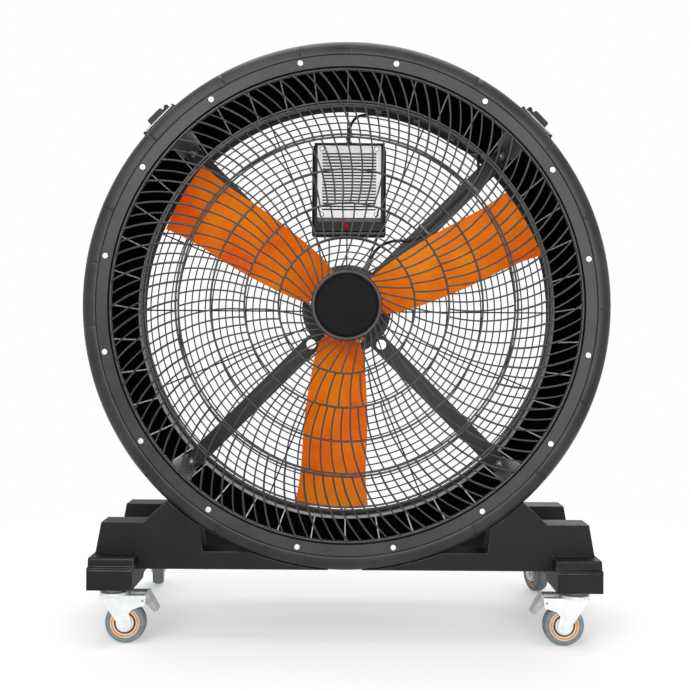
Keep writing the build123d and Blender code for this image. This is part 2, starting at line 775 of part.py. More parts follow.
with BuildPart() as motor_bearings:
    for start in (FRONT_BEARING, REAR_BEARING):
        race = band(SHAFT_RADIUS + PIN_GAP, BEARING_RADIUS, start, start + BEARING_WIDTH - SEAT)
        revolve(race, axis=FAN_AXIS)
save(motor_bearings, "motor_bearings")

with BuildPart() as motor_stator:
    stator_front = BARREL_FRONT + AIR_GAP
    stator_back = BARREL_BACK - AIR_GAP
    revolve(band(STATOR_BORE, BARREL_BORE - SEAT, stator_front, stator_back), axis=FAN_AXIS)
save(motor_stator, "motor_stator")

with BuildPart() as rotor_core:
    core_bore = SHAFT_RADIUS + PIN_GAP
    revolve(
        band(core_bore, STATOR_BORE - CORE_GAP, stator_front + 4, stator_back - 4),
        axis=FAN_AXIS,
    )
save(rotor_core, "rotor_core")


# ================================================================ hub and blades
HUB_FRONT = BLADE_DEPTH - HUB_LENGTH / 2
HUB_BACK = BLADE_DEPTH + HUB_LENGTH / 2
BLADE_CLOCKS = even(BLADES, BLADE_CLOCK)
FOOT_BASE = HUB_FLAT + SEAT
FOOT_TOP_FACE = FOOT_BASE + FOOT_THICK
NUT_TALL = 12.0

with BuildPart() as rotor_shaft:
    shaft_end = REAR_BEARING + BEARING_WIDTH - 1
    revolve(band(0, SHAFT_RADIUS, HUB_FRONT - NUT_TALL - 4, shaft_end), axis=FAN_AXIS)
save(rotor_shaft, "rotor_shaft")


def foot_bolt_spots():
    """The two corners of a blade's foot that its twisted root leaves free."""
    along = FOOT_LENGTH / 2 - FOOT_BOLT_INSET
    across = FOOT_WIDTH / 2 - FOOT_BOLT_INSET
    return [(along, across), (-along, -across)]


def foot_bolt_holes(inner, outer, radius):
    """Pegs through one blade foot, at the top, across the hub's flat."""
    with BuildPart() as pegs:
        with BuildSketch(Plane(origin=(0, depth(BLADE_DEPTH), AXIS_HEIGHT + inner))):
            with Locations(*foot_bolt_spots()):
                Circle(radius)
        extrude(amount=outer - inner)
    return pegs.part


with BuildPart() as fan_hub:
    with BuildSketch(face_plane(HUB_FRONT)):
        Circle(HUB_FLAT * 1.16)
        for clock in BLADE_CLOCKS:
            with BuildLine(Plane.XY.rotated((0, 0, -clock))):
                Polyline(
                    (-HUB_FLAT * 2, HUB_FLAT),
                    (HUB_FLAT * 2, HUB_FLAT),
                    (HUB_FLAT * 2, HUB_FLAT * 2),
                    (-HUB_FLAT * 2, HUB_FLAT * 2),
                    close=True,
                )
            make_face(mode=Mode.SUBTRACT)
        Circle(SHAFT_RADIUS + PIN_GAP, mode=Mode.SUBTRACT)
    extrude(amount=-HUB_LENGTH)
    add(
        around(foot_bolt_holes(HUB_FLAT - 22, HUB_FLAT + 1, HUB_BOLT + PIN_GAP), BLADE_CLOCKS),
        mode=Mode.SUBTRACT,
    )
save(fan_hub, "fan_hub")


def blade_section(share, half_width, half_depth, bow, thick):
    """A thin cambered section across the blade, at a share of its span."""
    radius = FOOT_TOP_FACE - 0.5 + share * (TIP_RADIUS + 12 - FOOT_TOP_FACE)
    length = sqrt(half_width**2 + half_depth**2)
    across = Vector(half_depth, half_width) / length
    lead_edge = Vector(BLADE_LEAN * (1 - share) - half_width, half_depth)
    trail_edge = Vector(BLADE_LEAN * (1 - share) + half_width, -half_depth)
    middle = (lead_edge + trail_edge) / 2
    lip = across * EDGE_THICK / 2
    with BuildSketch(Plane(origin=(0, depth(BLADE_DEPTH), AXIS_HEIGHT + radius))) as section:
        with BuildLine():
            ThreePointArc(lead_edge + lip, middle + across * (bow + thick / 2), trail_edge + lip)
            Line(trail_edge + lip, trail_edge - lip)
            ThreePointArc(trail_edge - lip, middle + across * (bow - thick / 2), lead_edge - lip)
            Line(lead_edge - lip, lead_edge + lip)
        make_face()
    return section.sketch


def blade():
    """One twisted blade with its bolted foot, at the top."""
    with BuildPart() as piece:
        loft([blade_section(*section) for section in BLADE_SECTIONS])
        swept_disc = band(0, TIP_RADIUS, HUB_FRONT - 40, HUB_BACK + 40)
        revolve(swept_disc, axis=FAN_AXIS, mode=Mode.INTERSECT)
        with BuildSketch(Plane(origin=(0, depth(BLADE_DEPTH), AXIS_HEIGHT + FOOT_BASE))):
            RectangleRounded(FOOT_LENGTH, FOOT_WIDTH, 8)
        extrude(amount=FOOT_THICK)
        holes = foot_bolt_holes(FOOT_BASE - 1, FOOT_TOP_FACE + 1, HUB_BOLT + PIN_GAP)
        add(holes, mode=Mode.SUBTRACT)
    return piece.part


one_blade = blade()
for number, clock in enumerate(BLADE_CLOCKS, start=1):
    with BuildPart() as fan_blade:
        add(one_blade.rotate(FAN_AXIS, clock))
    save(fan_blade, f"blade_{number}")


def foot_bolt():
    """The two bolts of one blade foot."""
    shanks = foot_bolt_holes(HUB_FLAT - 21, FOOT_TOP_FACE + 1, HUB_BOLT)
    heads = foot_bolt_holes(FOOT_TOP_FACE + SEAT, FOOT_TOP_FACE + 6, HUB_BOLT * 1.75)
    return shanks + heads


with BuildPart() as hub_bolts:
    add(around(foot_bolt(), BLADE_CLOCKS))
    with BuildSketch(face_plane(HUB_FRONT - SEAT)):
        RegularPolygon(SHAFT_RADIUS + 10, 6)
        Circle(SHAFT_RADIUS + PIN_GAP, mode=Mode.SUBTRACT)
    extrude(amount=NUT_TALL)
save(hub_bolts, "hub_bolts")


# ================================================================ motor lead's route
def clock_point(radius, clock, back):
    """A point by radius, clock angle and depth."""
    turn = radians(clock)
    return Vector(radius * sin(turn), depth(back), AXIS_HEIGHT + radius * cos(turn))


LEAD_DEPTH = STRUT_DEPTH - LEAD - SEAT
LEAD_WALL = BORE_RADIUS - STRIP_THICK - LEAD - 7.5
LEAD_BACK = REAR_LEDGE - LEDGE_THICK - LEAD - 3
BOX_GLAND_TOP = BOX_LOW + BOX_TALL - BOX_FRAME + 22
LEAD_POINTS = [
    clock_point(GLAND_END + SEAT, GLAND_CLOCK, GLAND_DEPTH),
    clock_point(GLAND_END + 30, 25.5, GLAND_DEPTH - 1),
    clock_point(GLAND_END + 52, 29, GLAND_DEPTH - 16),
    clock_point(GLAND_END + 74, 34.5, LEAD_DEPTH),
    clock_point(GLAND_END + 110, 45, LEAD_DEPTH),
    clock_point(LEAD_WALL - 65.5, 45, LEAD_DEPTH),
    clock_point(LEAD_WALL - 32.5, 40.8, LEAD_DEPTH - 3),
    clock_point(LEAD_WALL - 4, 40, STRUT_DEPTH + 18),
    clock_point(LEAD_WALL, 39.8, (STRUT_DEPTH + LEAD_BACK) / 2 - 3),
    clock_point(LEAD_WALL, 38.4, LEAD_BACK - 28.2),
    clock_point(LEAD_WALL, 34.2, LEAD_BACK),
    clock_point(LEAD_WALL, 28.2, LEAD_BACK),
    clock_point(LEAD_WALL, 22.4, LEAD_BACK),
    clock_point(LEAD_WALL, 16.8, LEAD_BACK),
    clock_point(LEAD_WALL, 11.2, LEAD_BACK),
    clock_point(LEAD_WALL - 1, 6.4, LEAD_BACK),
    clock_point(LEAD_WALL - 12, 2.4, LEAD_BACK - 1),
    clock_point(LEAD_WALL - 44, 0.5, LEAD_BACK - 4),
    clock_point(BOX_GLAND_TOP + SEAT, 0.5, LEAD_BACK - 4),
]


# ================================================================ control box
BODY_WIDE = BOX_WIDE - 2 * BOX_FRAME
BODY_TALL = BOX_TALL - 2 * BOX_FRAME
BODY_DEEP = BOX_BACK - BOX_FRONT
COVER_UP = BOX_LOW + BOX_TALL - BOX_FRAME - 2 - COVER_TALL / 2
SLOT_WIDE = COVER_WIDE - 26
COVER_SCREW_X = COVER_WIDE / 2 - 12
COVER_SCREW_Y = COVER_TALL / 2 - 9
KNOB_X = BOX_X + 46
KNOB_UP = BOX_MIDDLE_UP + 52
SWITCH_X = BOX_X - 46
INLET_UP = BOX_MIDDLE_UP - 88


def cover_screw_spots():
    """The four corners of the vented cover."""
    sides = (-COVER_SCREW_X, COVER_SCREW_X)
    return [(x, y) for x in sides for y in (-COVER_SCREW_Y, COVER_SCREW_Y)]


with BuildPart() as control_box_body:
    with BuildSketch(face_plane(BOX_FRONT, x=BOX_X, up=BOX_MIDDLE_UP)):
        RectangleRounded(BODY_WIDE, BODY_TALL, 6)
    extrude(amount=-BODY_DEEP)
    chamfer(control_box_body.faces().sort_by(Axis.Y)[0].edges(), 3.5)
    with BuildSketch(face_plane(BOX_FRONT + BOX_WALL, x=BOX_X, up=BOX_MIDDLE_UP)):
        RectangleRounded(BODY_WIDE - 2 * BOX_WALL, BODY_TALL - 2 * BOX_WALL, 4)
    extrude(amount=2 * BOX_WALL - BODY_DEEP, mode=Mode.SUBTRACT)
    with BuildSketch(face_plane(BOX_FRONT, x=BOX_X, up=COVER_UP)):
        Rectangle(COVER_WIDE - 16, COVER_TALL - 30)
        with Locations(*cover_screw_spots()):
            Circle(COVER_SCREW + PIN_GAP)
    extrude(amount=-BOX_WALL, mode=Mode.SUBTRACT)
    with BuildSketch(face_plane(BOX_BACK, x=SWITCH_X, up=KNOB_UP)):
        Rectangle(SWITCH_WIDE + 2 * SEAT + 3, SWITCH_TALL + 2 * SEAT + 3)
        with Locations((KNOB_X - SWITCH_X, 0)):
            Circle(KNOB_STEM + 1)
    extrude(amount=BOX_WALL, mode=Mode.SUBTRACT)
    lead_end = LEAD_POINTS[-1]
    with BuildSketch(Plane(origin=(lead_end.X, lead_end.Y, AXIS_HEIGHT + BOX_MIDDLE_UP))):
        Circle(GLAND_THREAD + PIN_GAP)
    extrude(amount=BOX_TALL, mode=Mode.SUBTRACT)
save(control_box_body, "control_box_body")

with BuildPart() as control_box_cover:
    with BuildSketch(face_plane(BOX_FRONT - SEAT, x=BOX_X, up=COVER_UP)):
        RectangleRounded(COVER_WIDE, COVER_TALL, 3)
        with GridLocations(0, SLOT_PITCH, 1, SLOTS):
            SlotOverall(SLOT_WIDE, SLOT_TALL, mode=Mode.SUBTRACT)
        with Locations(*cover_screw_spots()):
            Circle(COVER_SCREW + PIN_GAP, mode=Mode.SUBTRACT)
    extrude(amount=COVER_PLATE)
save(control_box_cover, "control_box_cover")

with BuildPart() as panel_screws:
    ring_screw = round_screw(SCREW, SCREW_HEAD, SCREW_TALL, SCREW_TAIL, RING_SCREW_RADIUS)
    add(around(ring_screw, SCREW_CLOCKS))
    screw_front = BOX_FRONT - 2 * SEAT - COVER_PLATE
    with BuildSketch(face_plane(screw_front, x=BOX_X, up=COVER_UP)):
        with Locations(*cover_screw_spots()):
            Circle(COVER_SCREW * 2.2)
    extrude(amount=2.4)
    with BuildSketch(face_plane(screw_front, x=BOX_X, up=COVER_UP)):
        with Locations(*cover_screw_spots()):
            Circle(COVER_SCREW)
    extrude(amount=-(COVER_PLATE + BOX_WALL))
save(panel_screws, "panel_screws")

with BuildPart() as control_box_frame:
    with BuildSketch(face_plane(REAR_GUARD_DEPTH - BOX_FRAME, x=BOX_X, up=BOX_MIDDLE_UP)):
        RectangleRounded(BOX_WIDE, BOX_TALL, 8)
        RectangleRounded(BODY_WIDE + 2 * SEAT, BODY_TALL + 2 * SEAT, 6, mode=Mode.SUBTRACT)
    extrude(amount=-2 * BOX_FRAME)
save(control_box_frame, "control_box_frame")

with BuildPart() as control_circuit_board:
    board_depth = BOX_BACK - BOX_WALL - BOARD_STAND
    with BuildSketch(face_plane(board_depth, x=BOX_X, up=BOX_MIDDLE_UP - 20)):
        Rectangle(BODY_WIDE - 50, BODY_TALL - 90)
    extrude(amount=1.6)
    with BuildSketch(face_plane(board_depth, x=BOX_X, up=BOX_MIDDLE_UP - 20)):
        with GridLocations(BODY_WIDE - 64, BODY_TALL - 104, 2, 2):
            Circle(3)
    extrude(amount=SEAT - BOARD_STAND)
    with BuildSketch(face_plane(board_depth - 1, x=BOX_X, up=BOX_MIDDLE_UP - 20)):
        with GridLocations(36, 40, 3, 2):
            Circle(11)
    extrude(amount=30)
save(control_circuit_board, "control_circuit_board")

with BuildPart() as control_fittings:
    with BuildSketch(face_plane(BOX_BACK + SEAT + BEZEL_THICK, x=SWITCH_X, up=KNOB_UP)):
        RectangleRounded(SWITCH_WIDE + 2 * BEZEL, SWITCH_TALL + 2 * BEZEL, 3)
        Rectangle(SWITCH_WIDE, SWITCH_TALL, mode=Mode.SUBTRACT)
    extrude(amount=BEZEL_THICK)
    with BuildSketch(face_plane(BOX_BACK + SEAT, x=SWITCH_X, up=KNOB_UP)):
        Rectangle(SWITCH_WIDE + 3, SWITCH_TALL + 3)
        Rectangle(SWITCH_WIDE, SWITCH_TALL, mode=Mode.SUBTRACT)
    extrude(amount=SWITCH_DEEP)
    with BuildSketch(face_plane(BOX_BACK + SEAT - SWITCH_DEEP, x=SWITCH_X, up=KNOB_UP)):
        Rectangle(SWITCH_WIDE + 3, SWITCH_TALL + 3)
    extrude(amount=2)
    with BuildSketch(face_plane(BOX_BACK + SEAT, x=BOX_X, up=INLET_UP)):
        RegularPolygon(INLET_RADIUS * 1.2, 6)
    extrude(amount=-9)
    with BuildSketch(face_plane(BOX_BACK + 9, x=BOX_X, up=INLET_UP)):
        Circle(INLET_RADIUS)
    extrude(amount=-14, taper=12)
    with BuildSketch(face_plane(BOX_BACK + 10, x=BOX_X, up=INLET_UP)):
        Circle(5)
    extrude(amount=-20, mode=Mode.SUBTRACT)
save(control_fittings, "control_fittings")

with BuildPart() as speed_knob:
    knob_front = BOX_BACK + SWING_GAP
    with BuildSketch(face_plane(knob_front, x=KNOB_X, up=KNOB_UP)):
        Circle(KNOB_RADIUS)
        with PolarLocations(KNOB_RADIUS, 12):
            Circle(1.6, mode=Mode.SUBTRACT)
    extrude(amount=-KNOB_TALL)
    chamfer(speed_knob.faces().sort_by(Axis.Y)[-1].edges(), 1.2)
    with BuildSketch(face_plane(knob_front + KNOB_TALL, x=KNOB_X, up=KNOB_UP + KNOB_RADIUS / 2)):
        Rectangle(2.4, KNOB_RADIUS - 6)
    extrude(amount=1.2, mode=Mode.SUBTRACT)
    with BuildSketch(face_plane(knob_front, x=KNOB_X, up=KNOB_UP)):
        Circle(KNOB_STEM)
    extrude(amount=12)
save(speed_knob, "speed_knob")

with BuildPart() as power_rocker:
    rocker_pivot = Plane(
        origin=(SWITCH_X, depth(BOX_BACK), AXIS_HEIGHT + KNOB_UP), x_dir=(0, 1, 0), z_dir=(1, 0, 0)
    )
    with BuildSketch(rocker_pivot.offset(SWING_GAP / 2 - SWITCH_WIDE / 2)):
        with BuildLine():
            Polyline((-6, -7), (0, -11), (4, -ROCKER_HALF), (7.5, -ROCKER_HALF), (5.5, 0))
            Polyline((5.5, 0), (7.5, ROCKER_HALF), (4, ROCKER_HALF), (0, 11), (-6, 7), (-6, -7))
        make_face()
    extrude(amount=SWITCH_WIDE - SWING_GAP)
power_rocker.part = power_rocker.part.rotate(Axis(rocker_pivot.origin, (1, 0, 0)), ROCKER_TILT)
save(power_rocker, "power_rocker")


def jumper(x, top, low):
    """A short wire that bows out of the box's lower front."""
    start = (x, depth(BOX_FRONT - SEAT), AXIS_HEIGHT + top)
    crest = (x + 3, depth(BOX_FRONT - 9), AXIS_HEIGHT + (top + low) / 2)
    end = (x + 5, depth(BOX_FRONT - SEAT), AXIS_HEIGHT + low)
    return tube(ThreePointArc(start, crest, end), 1.7)


with BuildPart() as control_wires:
    wire_top = BOX_LOW + BOX_FRAME + 26
    add(jumper(BOX_X - 13, wire_top, wire_top - 20))
    add(jumper(BOX_X - 8, wire_top, wire_top - 20))
save(control_wires, "control_wires")


# ================================================================ motor lead
def bend_radii(points):
    """The largest even bends that a route's runs allow."""
    radii = []
    for before, corner, after in zip(points, points[1:], points[2:]):
        turn = radians((corner - before).get_angle(after - corner))
        shorter = min((corner - before).length, (after - corner).length)
        radii.append(0.45 * shorter / tan(turn / 2))
    return radii


with BuildPart() as motor_lead:
    with BuildLine() as lead_route:
        FilletPolyline(*LEAD_POINTS, radius=bend_radii(LEAD_POINTS))
    add(tube(lead_route.line, LEAD))
save(motor_lead, "motor_lead")
print("bends of the motor lead:", [round(radius) for radius in bend_radii(LEAD_POINTS)])
lead_length = sum(edge.length for edge in lead_route.edges())
print("its volume:", round(motor_lead.part.volume), "and by length:", round(pi * LEAD**2 * lead_length))


def cable_gland(low, tall, thread_low, x, y):
    """A gland that points up: a thread, a hexagon and a round cap."""
    with BuildPart() as gland:
        with BuildSketch(Plane(origin=(x, y, thread_low))):
            Circle(GLAND_THREAD)
        extrude(amount=low - thread_low + 2)
        with BuildSketch(Plane(origin=(x, y, low))):
            RegularPolygon(GLAND_NUT, 6)
        extrude(amount=GLAND_HEX)
        with BuildSketch(Plane(origin=(x, y, low + GLAND_HEX - 1))):
            Circle(GLAND_THREAD + 1)
        extrude(amount=tall - GLAND_HEX + 1)
    return gland.part


def strut_tie(radius):
    """A band around the upper right strut and the lead that lies on it."""
    with BuildPart() as tie:
        with BuildSketch(Plane.XY.offset(AXIS_HEIGHT + radius)):
            with Locations((0, depth(STRUT_DEPTH + STRUT_DEEP / 2 - LEAD))):
                Rectangle(STRUT_WIDTH + 3.4, STRUT_DEEP + 2 * LEAD + 4)
                Rectangle(
                    STRUT_WIDTH + 2 * SEAT, STRUT_DEEP + 2 * LEAD + 4 * SEAT, mode=Mode.SUBTRACT
                )
        extrude(amount=TIE_WIDTH)
    return tie.part.rotate(FAN_AXIS, STRUT_CLOCKS[0])


with BuildPart() as lead_fittings:
    motor_gland = cable_gland(
        AXIS_HEIGHT + COVER_RADIUS + SEAT,
        GLAND_END - COVER_RADIUS - SEAT,
        AXIS_HEIGHT + BARREL_BORE,
        0,
        depth(GLAND_DEPTH),
    )
    add(around(motor_gland, [GLAND_CLOCK]))
    box_top = AXIS_HEIGHT + BOX_LOW + BOX_TALL - BOX_FRAME
    gland_low = box_top + SEAT
    gland_tall = AXIS_HEIGHT + BOX_GLAND_TOP - gland_low
    add(cable_gland(gland_low, gland_tall, box_top - 2 * BOX_WALL, lead_end.X, lead_end.Y))
    for tie_radius in TIE_RADII:
        add(strut_tie(tie_radius))
    clip_start = LEAD_BACK - CLIP_WIDE / 2
    clip_foot = LEAD_WALL + LEAD + SEAT
    clip = arc_piece(clip_foot, PLATE_FACE, clip_start, clip_start + CLIP_WIDE, CLIP_ANGLE)
    add(around(clip, CLIP_CLOCKS))
save(lead_fittings, "lead_fittings")


# ================================================================ handles
PAD_TOP = DRUM_RADIUS + HANDLE_PAD
PAD_LONG = HANDLE_LONG + 4
PLATE_TOP = PAD_TOP + SEAT + HANDLE_PLATE
HINGE_UP = PLATE_TOP + HINGE_LIFT
GRIP_LOW = PLATE_TOP + GRIP_LIFT


def handle_pad():
    """The rubber pad between the round drum and a handle's flat plate."""
    with BuildPart() as pad:
        with BuildSketch(face_plane(HANDLE_START, up=PAD_TOP - HANDLE_PAD)):
            Rectangle(HANDLE_WIDE + 4, 2 * HANDLE_PAD)
        extrude(amount=-PAD_LONG)
        fillet(pad.edges().filter_by(Axis.Z), 6)
        revolve(
            band(0, DRUM_RADIUS + SEAT, HANDLE_START - 5, HANDLE_START + PAD_LONG + 5),
            axis=FAN_AXIS,
            mode=Mode.SUBTRACT,
        )
    return pad.part


def handle_plate(side):
    """The plate with the two lugs that carry the folding grip."""
    start = HANDLE_START + 2
    with BuildPart() as plate:
        with BuildSketch(face_plane(start, up=PLATE_TOP - HANDLE_PLATE / 2)):
            Rectangle(HANDLE_WIDE, HANDLE_PLATE)
        extrude(amount=-HANDLE_LONG)
        fillet(plate.edges().filter_by(Axis.Z), 5)
        for lug_start in (start + LUG_INSET, start + HANDLE_LONG - LUG_INSET - LUG_THICK):
            with BuildSketch(face_plane(lug_start, x=side * HINGE_SIDE, up=HINGE_UP)):
                Circle(6)
                with Locations((0, -4)):
                    Rectangle(12, 8)
                Circle(HINGE_PIN + PIN_GAP, mode=Mode.SUBTRACT)
            extrude(amount=-LUG_THICK)
    return plate.part


def handle_grip(side):
    """The grip: two legs, the bar between them and the hinge pins, folded flat."""
    start = HANDLE_START + 2 + LUG_INSET + LUG_THICK + SWING_GAP
    length = HANDLE_LONG - 2 * (LUG_INSET + LUG_THICK + SWING_GAP)
    bar_middle = -side * (GRIP_WIDE - GRIP_BAR) / 2
    with BuildPart() as grip:
        with BuildSketch(face_plane(start, x=bar_middle, up=GRIP_LOW + GRIP_THICK / 2)):
            RectangleRounded(GRIP_BAR, GRIP_THICK, 6)
        extrude(amount=-length)
        for leg_start in (start, start + length - LEG_LONG):
            with BuildSketch(face_plane(leg_start, up=GRIP_LOW + GRIP_THICK / 2)):
                RectangleRounded(GRIP_WIDE, GRIP_THICK, 5)
                with Locations((side * HINGE_SIDE, HINGE_UP - GRIP_LOW - GRIP_THICK / 2)):
                    Circle(LEG_EYE)
                with Locations((side * HINGE_SIDE / 2, HINGE_UP - GRIP_LOW - GRIP_THICK / 2)):
                    Rectangle(HINGE_SIDE, 2 * LEG_EYE)
            extrude(amount=-LEG_LONG)
        for pin_start in (start - SWING_GAP - LUG_THICK + 1, start + length - 1):
            with BuildSketch(face_plane(pin_start, x=side * HINGE_SIDE, up=HINGE_UP)):
                Circle(HINGE_PIN)
            extrude(amount=-(LUG_THICK + SWING_GAP))
    return grip.part


with BuildPart() as handle_pads:
    add(around(handle_pad(), HANDLE_CLOCKS))
save(handle_pads, "handle_pads")

with BuildPart() as handle_plates:
    add(handle_plate(1).rotate(FAN_AXIS, HANDLE_CLOCKS[0]))
    add(handle_plate(-1).rotate(FAN_AXIS, HANDLE_CLOCKS[1]))
save(handle_plates, "handle_plates")

with BuildPart() as handle_grip_left:
    add(handle_grip(1).rotate(FAN_AXIS, HANDLE_CLOCKS[0]))
save(handle_grip_left, "handle_grip_left")

with BuildPart() as handle_grip_right:
    add(handle_grip(-1).rotate(FAN_AXIS, HANDLE_CLOCKS[1]))
save(handle_grip_right, "handle_grip_right")


# ================================================================ base
BASE_BOLT_TOP = FOOT_TOP + 20
INNER_X = FOOT_X - BEAM_WIDE / 2
OUTER_X = FOOT_X + BEAM_WIDE / 2
BLOCK_FOOT = FOOT_TOP + SEAT


def foot_side(inset=0.0):
    """The stepped side view of a long foot, its front half and its mirror."""
    half = [
        (BASE_HALF - inset, FOOT_BOTTOM + inset),
        (BASE_HALF - inset, STEP_LOW - 3),
        (BASE_HALF - 4 - inset, STEP_LOW + 2 - inset),
        (BASE_HALF - FOOT_STEP - inset, STEP_LOW + 3 - inset),
        (BASE_HALF - FOOT_STEP - 2 - inset, FOOT_TOP - 3 - inset),
        (BASE_HALF - FOOT_STEP - 6 - inset, FOOT_TOP - inset),
    ]
    step = BEAM_BOTTOM - FOOT_BOTTOM
    under = [
        (BASE_HALF - END_LONG - step + inset / 2, BEAM_BOTTOM + inset),
        (BASE_HALF - END_LONG + inset / 2, FOOT_BOTTOM + inset),
    ]
    back = [(-y, z) for y, z in reversed(half)]
    under_back = [(-y, z) for y, z in reversed(under)]
    return half + back + under_back + under


def base_bolt_holes(x, radius, low, high):
    """Upright pegs where the two cradles are bolted to one long foot."""
    middles = [depth(front + CRADLE_THICK - BASE_BOLT_INSET) for front in (CRADLE_FRONT, CRADLE_REAR)]
    spots = [(x + side, y) for side in (-BASE_BOLT_X, BASE_BOLT_X) for y in middles]
    with BuildPart() as pegs:
        with BuildSketch(Plane.XY.offset(low)):
            with Locations(*spots):
                Circle(radius)
        extrude(amount=high - low)
    return pegs.part


def long_foot(x):
    """One long hollow foot under the drum's side."""
    with BuildPart() as foot:
        with BuildSketch(Plane.YZ.offset(x - BEAM_WIDE / 2)):
            with BuildLine():
                Polyline(*foot_side(), close=True)
            make_face()
        extrude(amount=BEAM_WIDE)
        fillet(foot.edges().filter_by(Axis.Z).filter_by(lambda e: e.length > 20), 5)
        with BuildSketch(Plane.YZ.offset(x - BEAM_WIDE / 2 + BASE_WALL)):
            with BuildLine():
                Polyline(*foot_side(BASE_WALL), close=True)
            make_face()
        extrude(amount=BEAM_WIDE - 2 * BASE_WALL, mode=Mode.SUBTRACT)
        bolt_holes = base_bolt_holes(x, BASE_BOLT + PIN_GAP, FOOT_TOP - BASE_WALL - 1, FOOT_TOP + 1)
        add(bolt_holes, mode=Mode.SUBTRACT)
        tool_holes = base_bolt_holes(x, BASE_BOLT * 2 + 2, FOOT_BOTTOM - 1, BEAM_BOTTOM + 12)
        add(tool_holes, mode=Mode.SUBTRACT)
    return foot.part


with BuildPart() as base_foot_left:
    add(long_foot(-FOOT_X))
save(base_foot_left, "base_foot_left")

with BuildPart() as base_foot_right:
    add(long_foot(FOOT_X))
save(base_foot_right, "base_foot_right")


def cradle_corners(side, inset=0.0):
    """The outline of one half of a cradle, as (x, height)."""
    low_side, high_side, nose = BLOCK_INSETS
    saddle = sqrt((DRUM_RADIUS + SADDLE_EDGE) ** 2 - (AXIS_HEIGHT - SADDLE_TOP) ** 2)
    corners = [
        (inset * STRAP_REACH / BASE_WALL, CRADLE_BOTTOM + inset),
        (INNER_X - SEAT - inset, CRADLE_BOTTOM + inset),
        (INNER_X - SEAT - inset, BLOCK_FOOT + inset),
        (OUTER_X - low_side - inset * 1.2, BLOCK_FOOT + inset),
        (OUTER_X - high_side - inset * 0.8, CRADLE_BLOCK_TOP - inset),
        (INNER_X - nose - inset * 0.4, CRADLE_BLOCK_TOP - inset),
        (saddle - inset * 0.4, SADDLE_TOP - inset),
        (inset * STRAP_REACH / BASE_WALL, SADDLE_TOP - inset),
    ]
    return [(side * x, z) for x, z in corners]


def opening_corners(side, inset=0.0):
    """The gap between a cradle's beam and the drum."""
    gap_end = INNER_X - GAP_INSET + inset * 1.2
    corners = [
        (GAP_START, CRADLE_BEAM_TOP - inset),
        (gap_end, CRADLE_BEAM_TOP - inset),
        (gap_end + 10, CRADLE_BEAM_TOP + GAP_TALL + inset),
        (GAP_START, CRADLE_BEAM_TOP + GAP_TALL + inset),
    ]
    return [(side * x, z) for x, z in corners]


def cradle_outline(saddle_radius, inset=0.0):
    """Both halves of a cradle's front view, cut by the drum and the two gaps."""
    with BuildSketch() as view:
        for side in (-1, 1):
            with BuildLine():
                Polyline(*cradle_corners(side, inset), close=True)
            make_face()
        with Locations((0, AXIS_HEIGHT)):
            Circle(saddle_radius + inset, mode=Mode.SUBTRACT)
        for side in (-1, 1):
            with BuildLine():
                Polyline(*opening_corners(side, inset), close=True)
            make_face(mode=Mode.SUBTRACT)
    return view.sketch


BEAD_END = LIP_DEPTH + 2 + SEAT


def cradle(front):
    """A hollow panel across the machine that the drum lies in, clear of the bead."""
    with BuildPart() as panel:
        with BuildSketch(Plane.XZ.offset(-depth(front))):
            add(cradle_outline(DRUM_RADIUS + SEAT))
        extrude(amount=-CRADLE_THICK)
        with BuildSketch(Plane.XZ.offset(-depth(front + BASE_WALL))):
            add(cradle_outline(LIP_RADIUS + SEAT, BASE_WALL))
        extrude(amount=2 * BASE_WALL - CRADLE_THICK, mode=Mode.SUBTRACT)
        if front < BEAD_END:
            with BuildSketch(face_plane(front)):
                Circle(LIP_RADIUS + SEAT)
            extrude(amount=front - BEAD_END, mode=Mode.SUBTRACT)
        for x in (-FOOT_X, FOOT_X):
            holes = base_bolt_holes(x, BASE_BOLT + PIN_GAP, FOOT_TOP, BLOCK_FOOT + BASE_WALL + 1)
            add(holes, mode=Mode.SUBTRACT)
    return panel.part


with BuildPart() as cradle_front:
    add(cradle(CRADLE_FRONT))
save(cradle_front, "cradle_front")

with BuildPart() as cradle_rear:
    add(cradle(CRADLE_REAR))
save(cradle_rear, "cradle_rear")

with BuildPart() as base_bolts:
    for x in (-FOOT_X, FOOT_X):
        head_top = FOOT_TOP - BASE_WALL - SEAT
        add(base_bolt_holes(x, BASE_BOLT, head_top - 1, BASE_BOLT_TOP))
        add(base_bolt_holes(x, BASE_BOLT * 2, head_top - BOLT_HEAD_TALL, head_top))
save(base_bolts, "base_bolts")


# ================================================================ casters
RACE_TOP = FORK_TOP + RACE_TALL
PLATE_BOTTOM = FOOT_BOTTOM - SEAT - CASTER_PLATE
FORK_INSIDE = WHEEL_WIDTH / 2 + 2
FORK_OUTSIDE = FORK_INSIDE + FORK_WALL
LEVER_LOW = FORK_TOP + 2.0
# name, x, y, the way the wheel trails: counted from +X towards +Y
CASTERS = [
    ("front_left", -FOOT_X, CASTER_INSET_FRONT - BASE_HALF, 0),
    ("front_right", FOOT_X, CASTER_INSET_FRONT - BASE_HALF, 180),
    ("rear_left", -FOOT_X, BASE_HALF - CASTER_INSET_REAR, 99),
    ("rear_right", FOOT_X, BASE_HALF - CASTER_INSET_REAR, -72),
]


def outline(corners):
    """A flat face with straight edges."""
    with BuildSketch() as sketch:
        with BuildLine():
            Polyline(*corners, close=True)
        make_face()
    return sketch.sketch


def disc(along, up, radius):
    """A round face in a caster's side view."""
    with BuildSketch() as sketch:
        with Locations((along, up)):
            Circle(radius)
    return sketch.sketch


def across(sketch, half):
    """A flat side view (along the trail, height) drawn out to both sides of the trail."""
    with BuildPart() as piece:
        with BuildSketch(Plane.XZ.offset(half)):
            add(sketch)
        extrude(amount=-2 * half)
    return piece.part


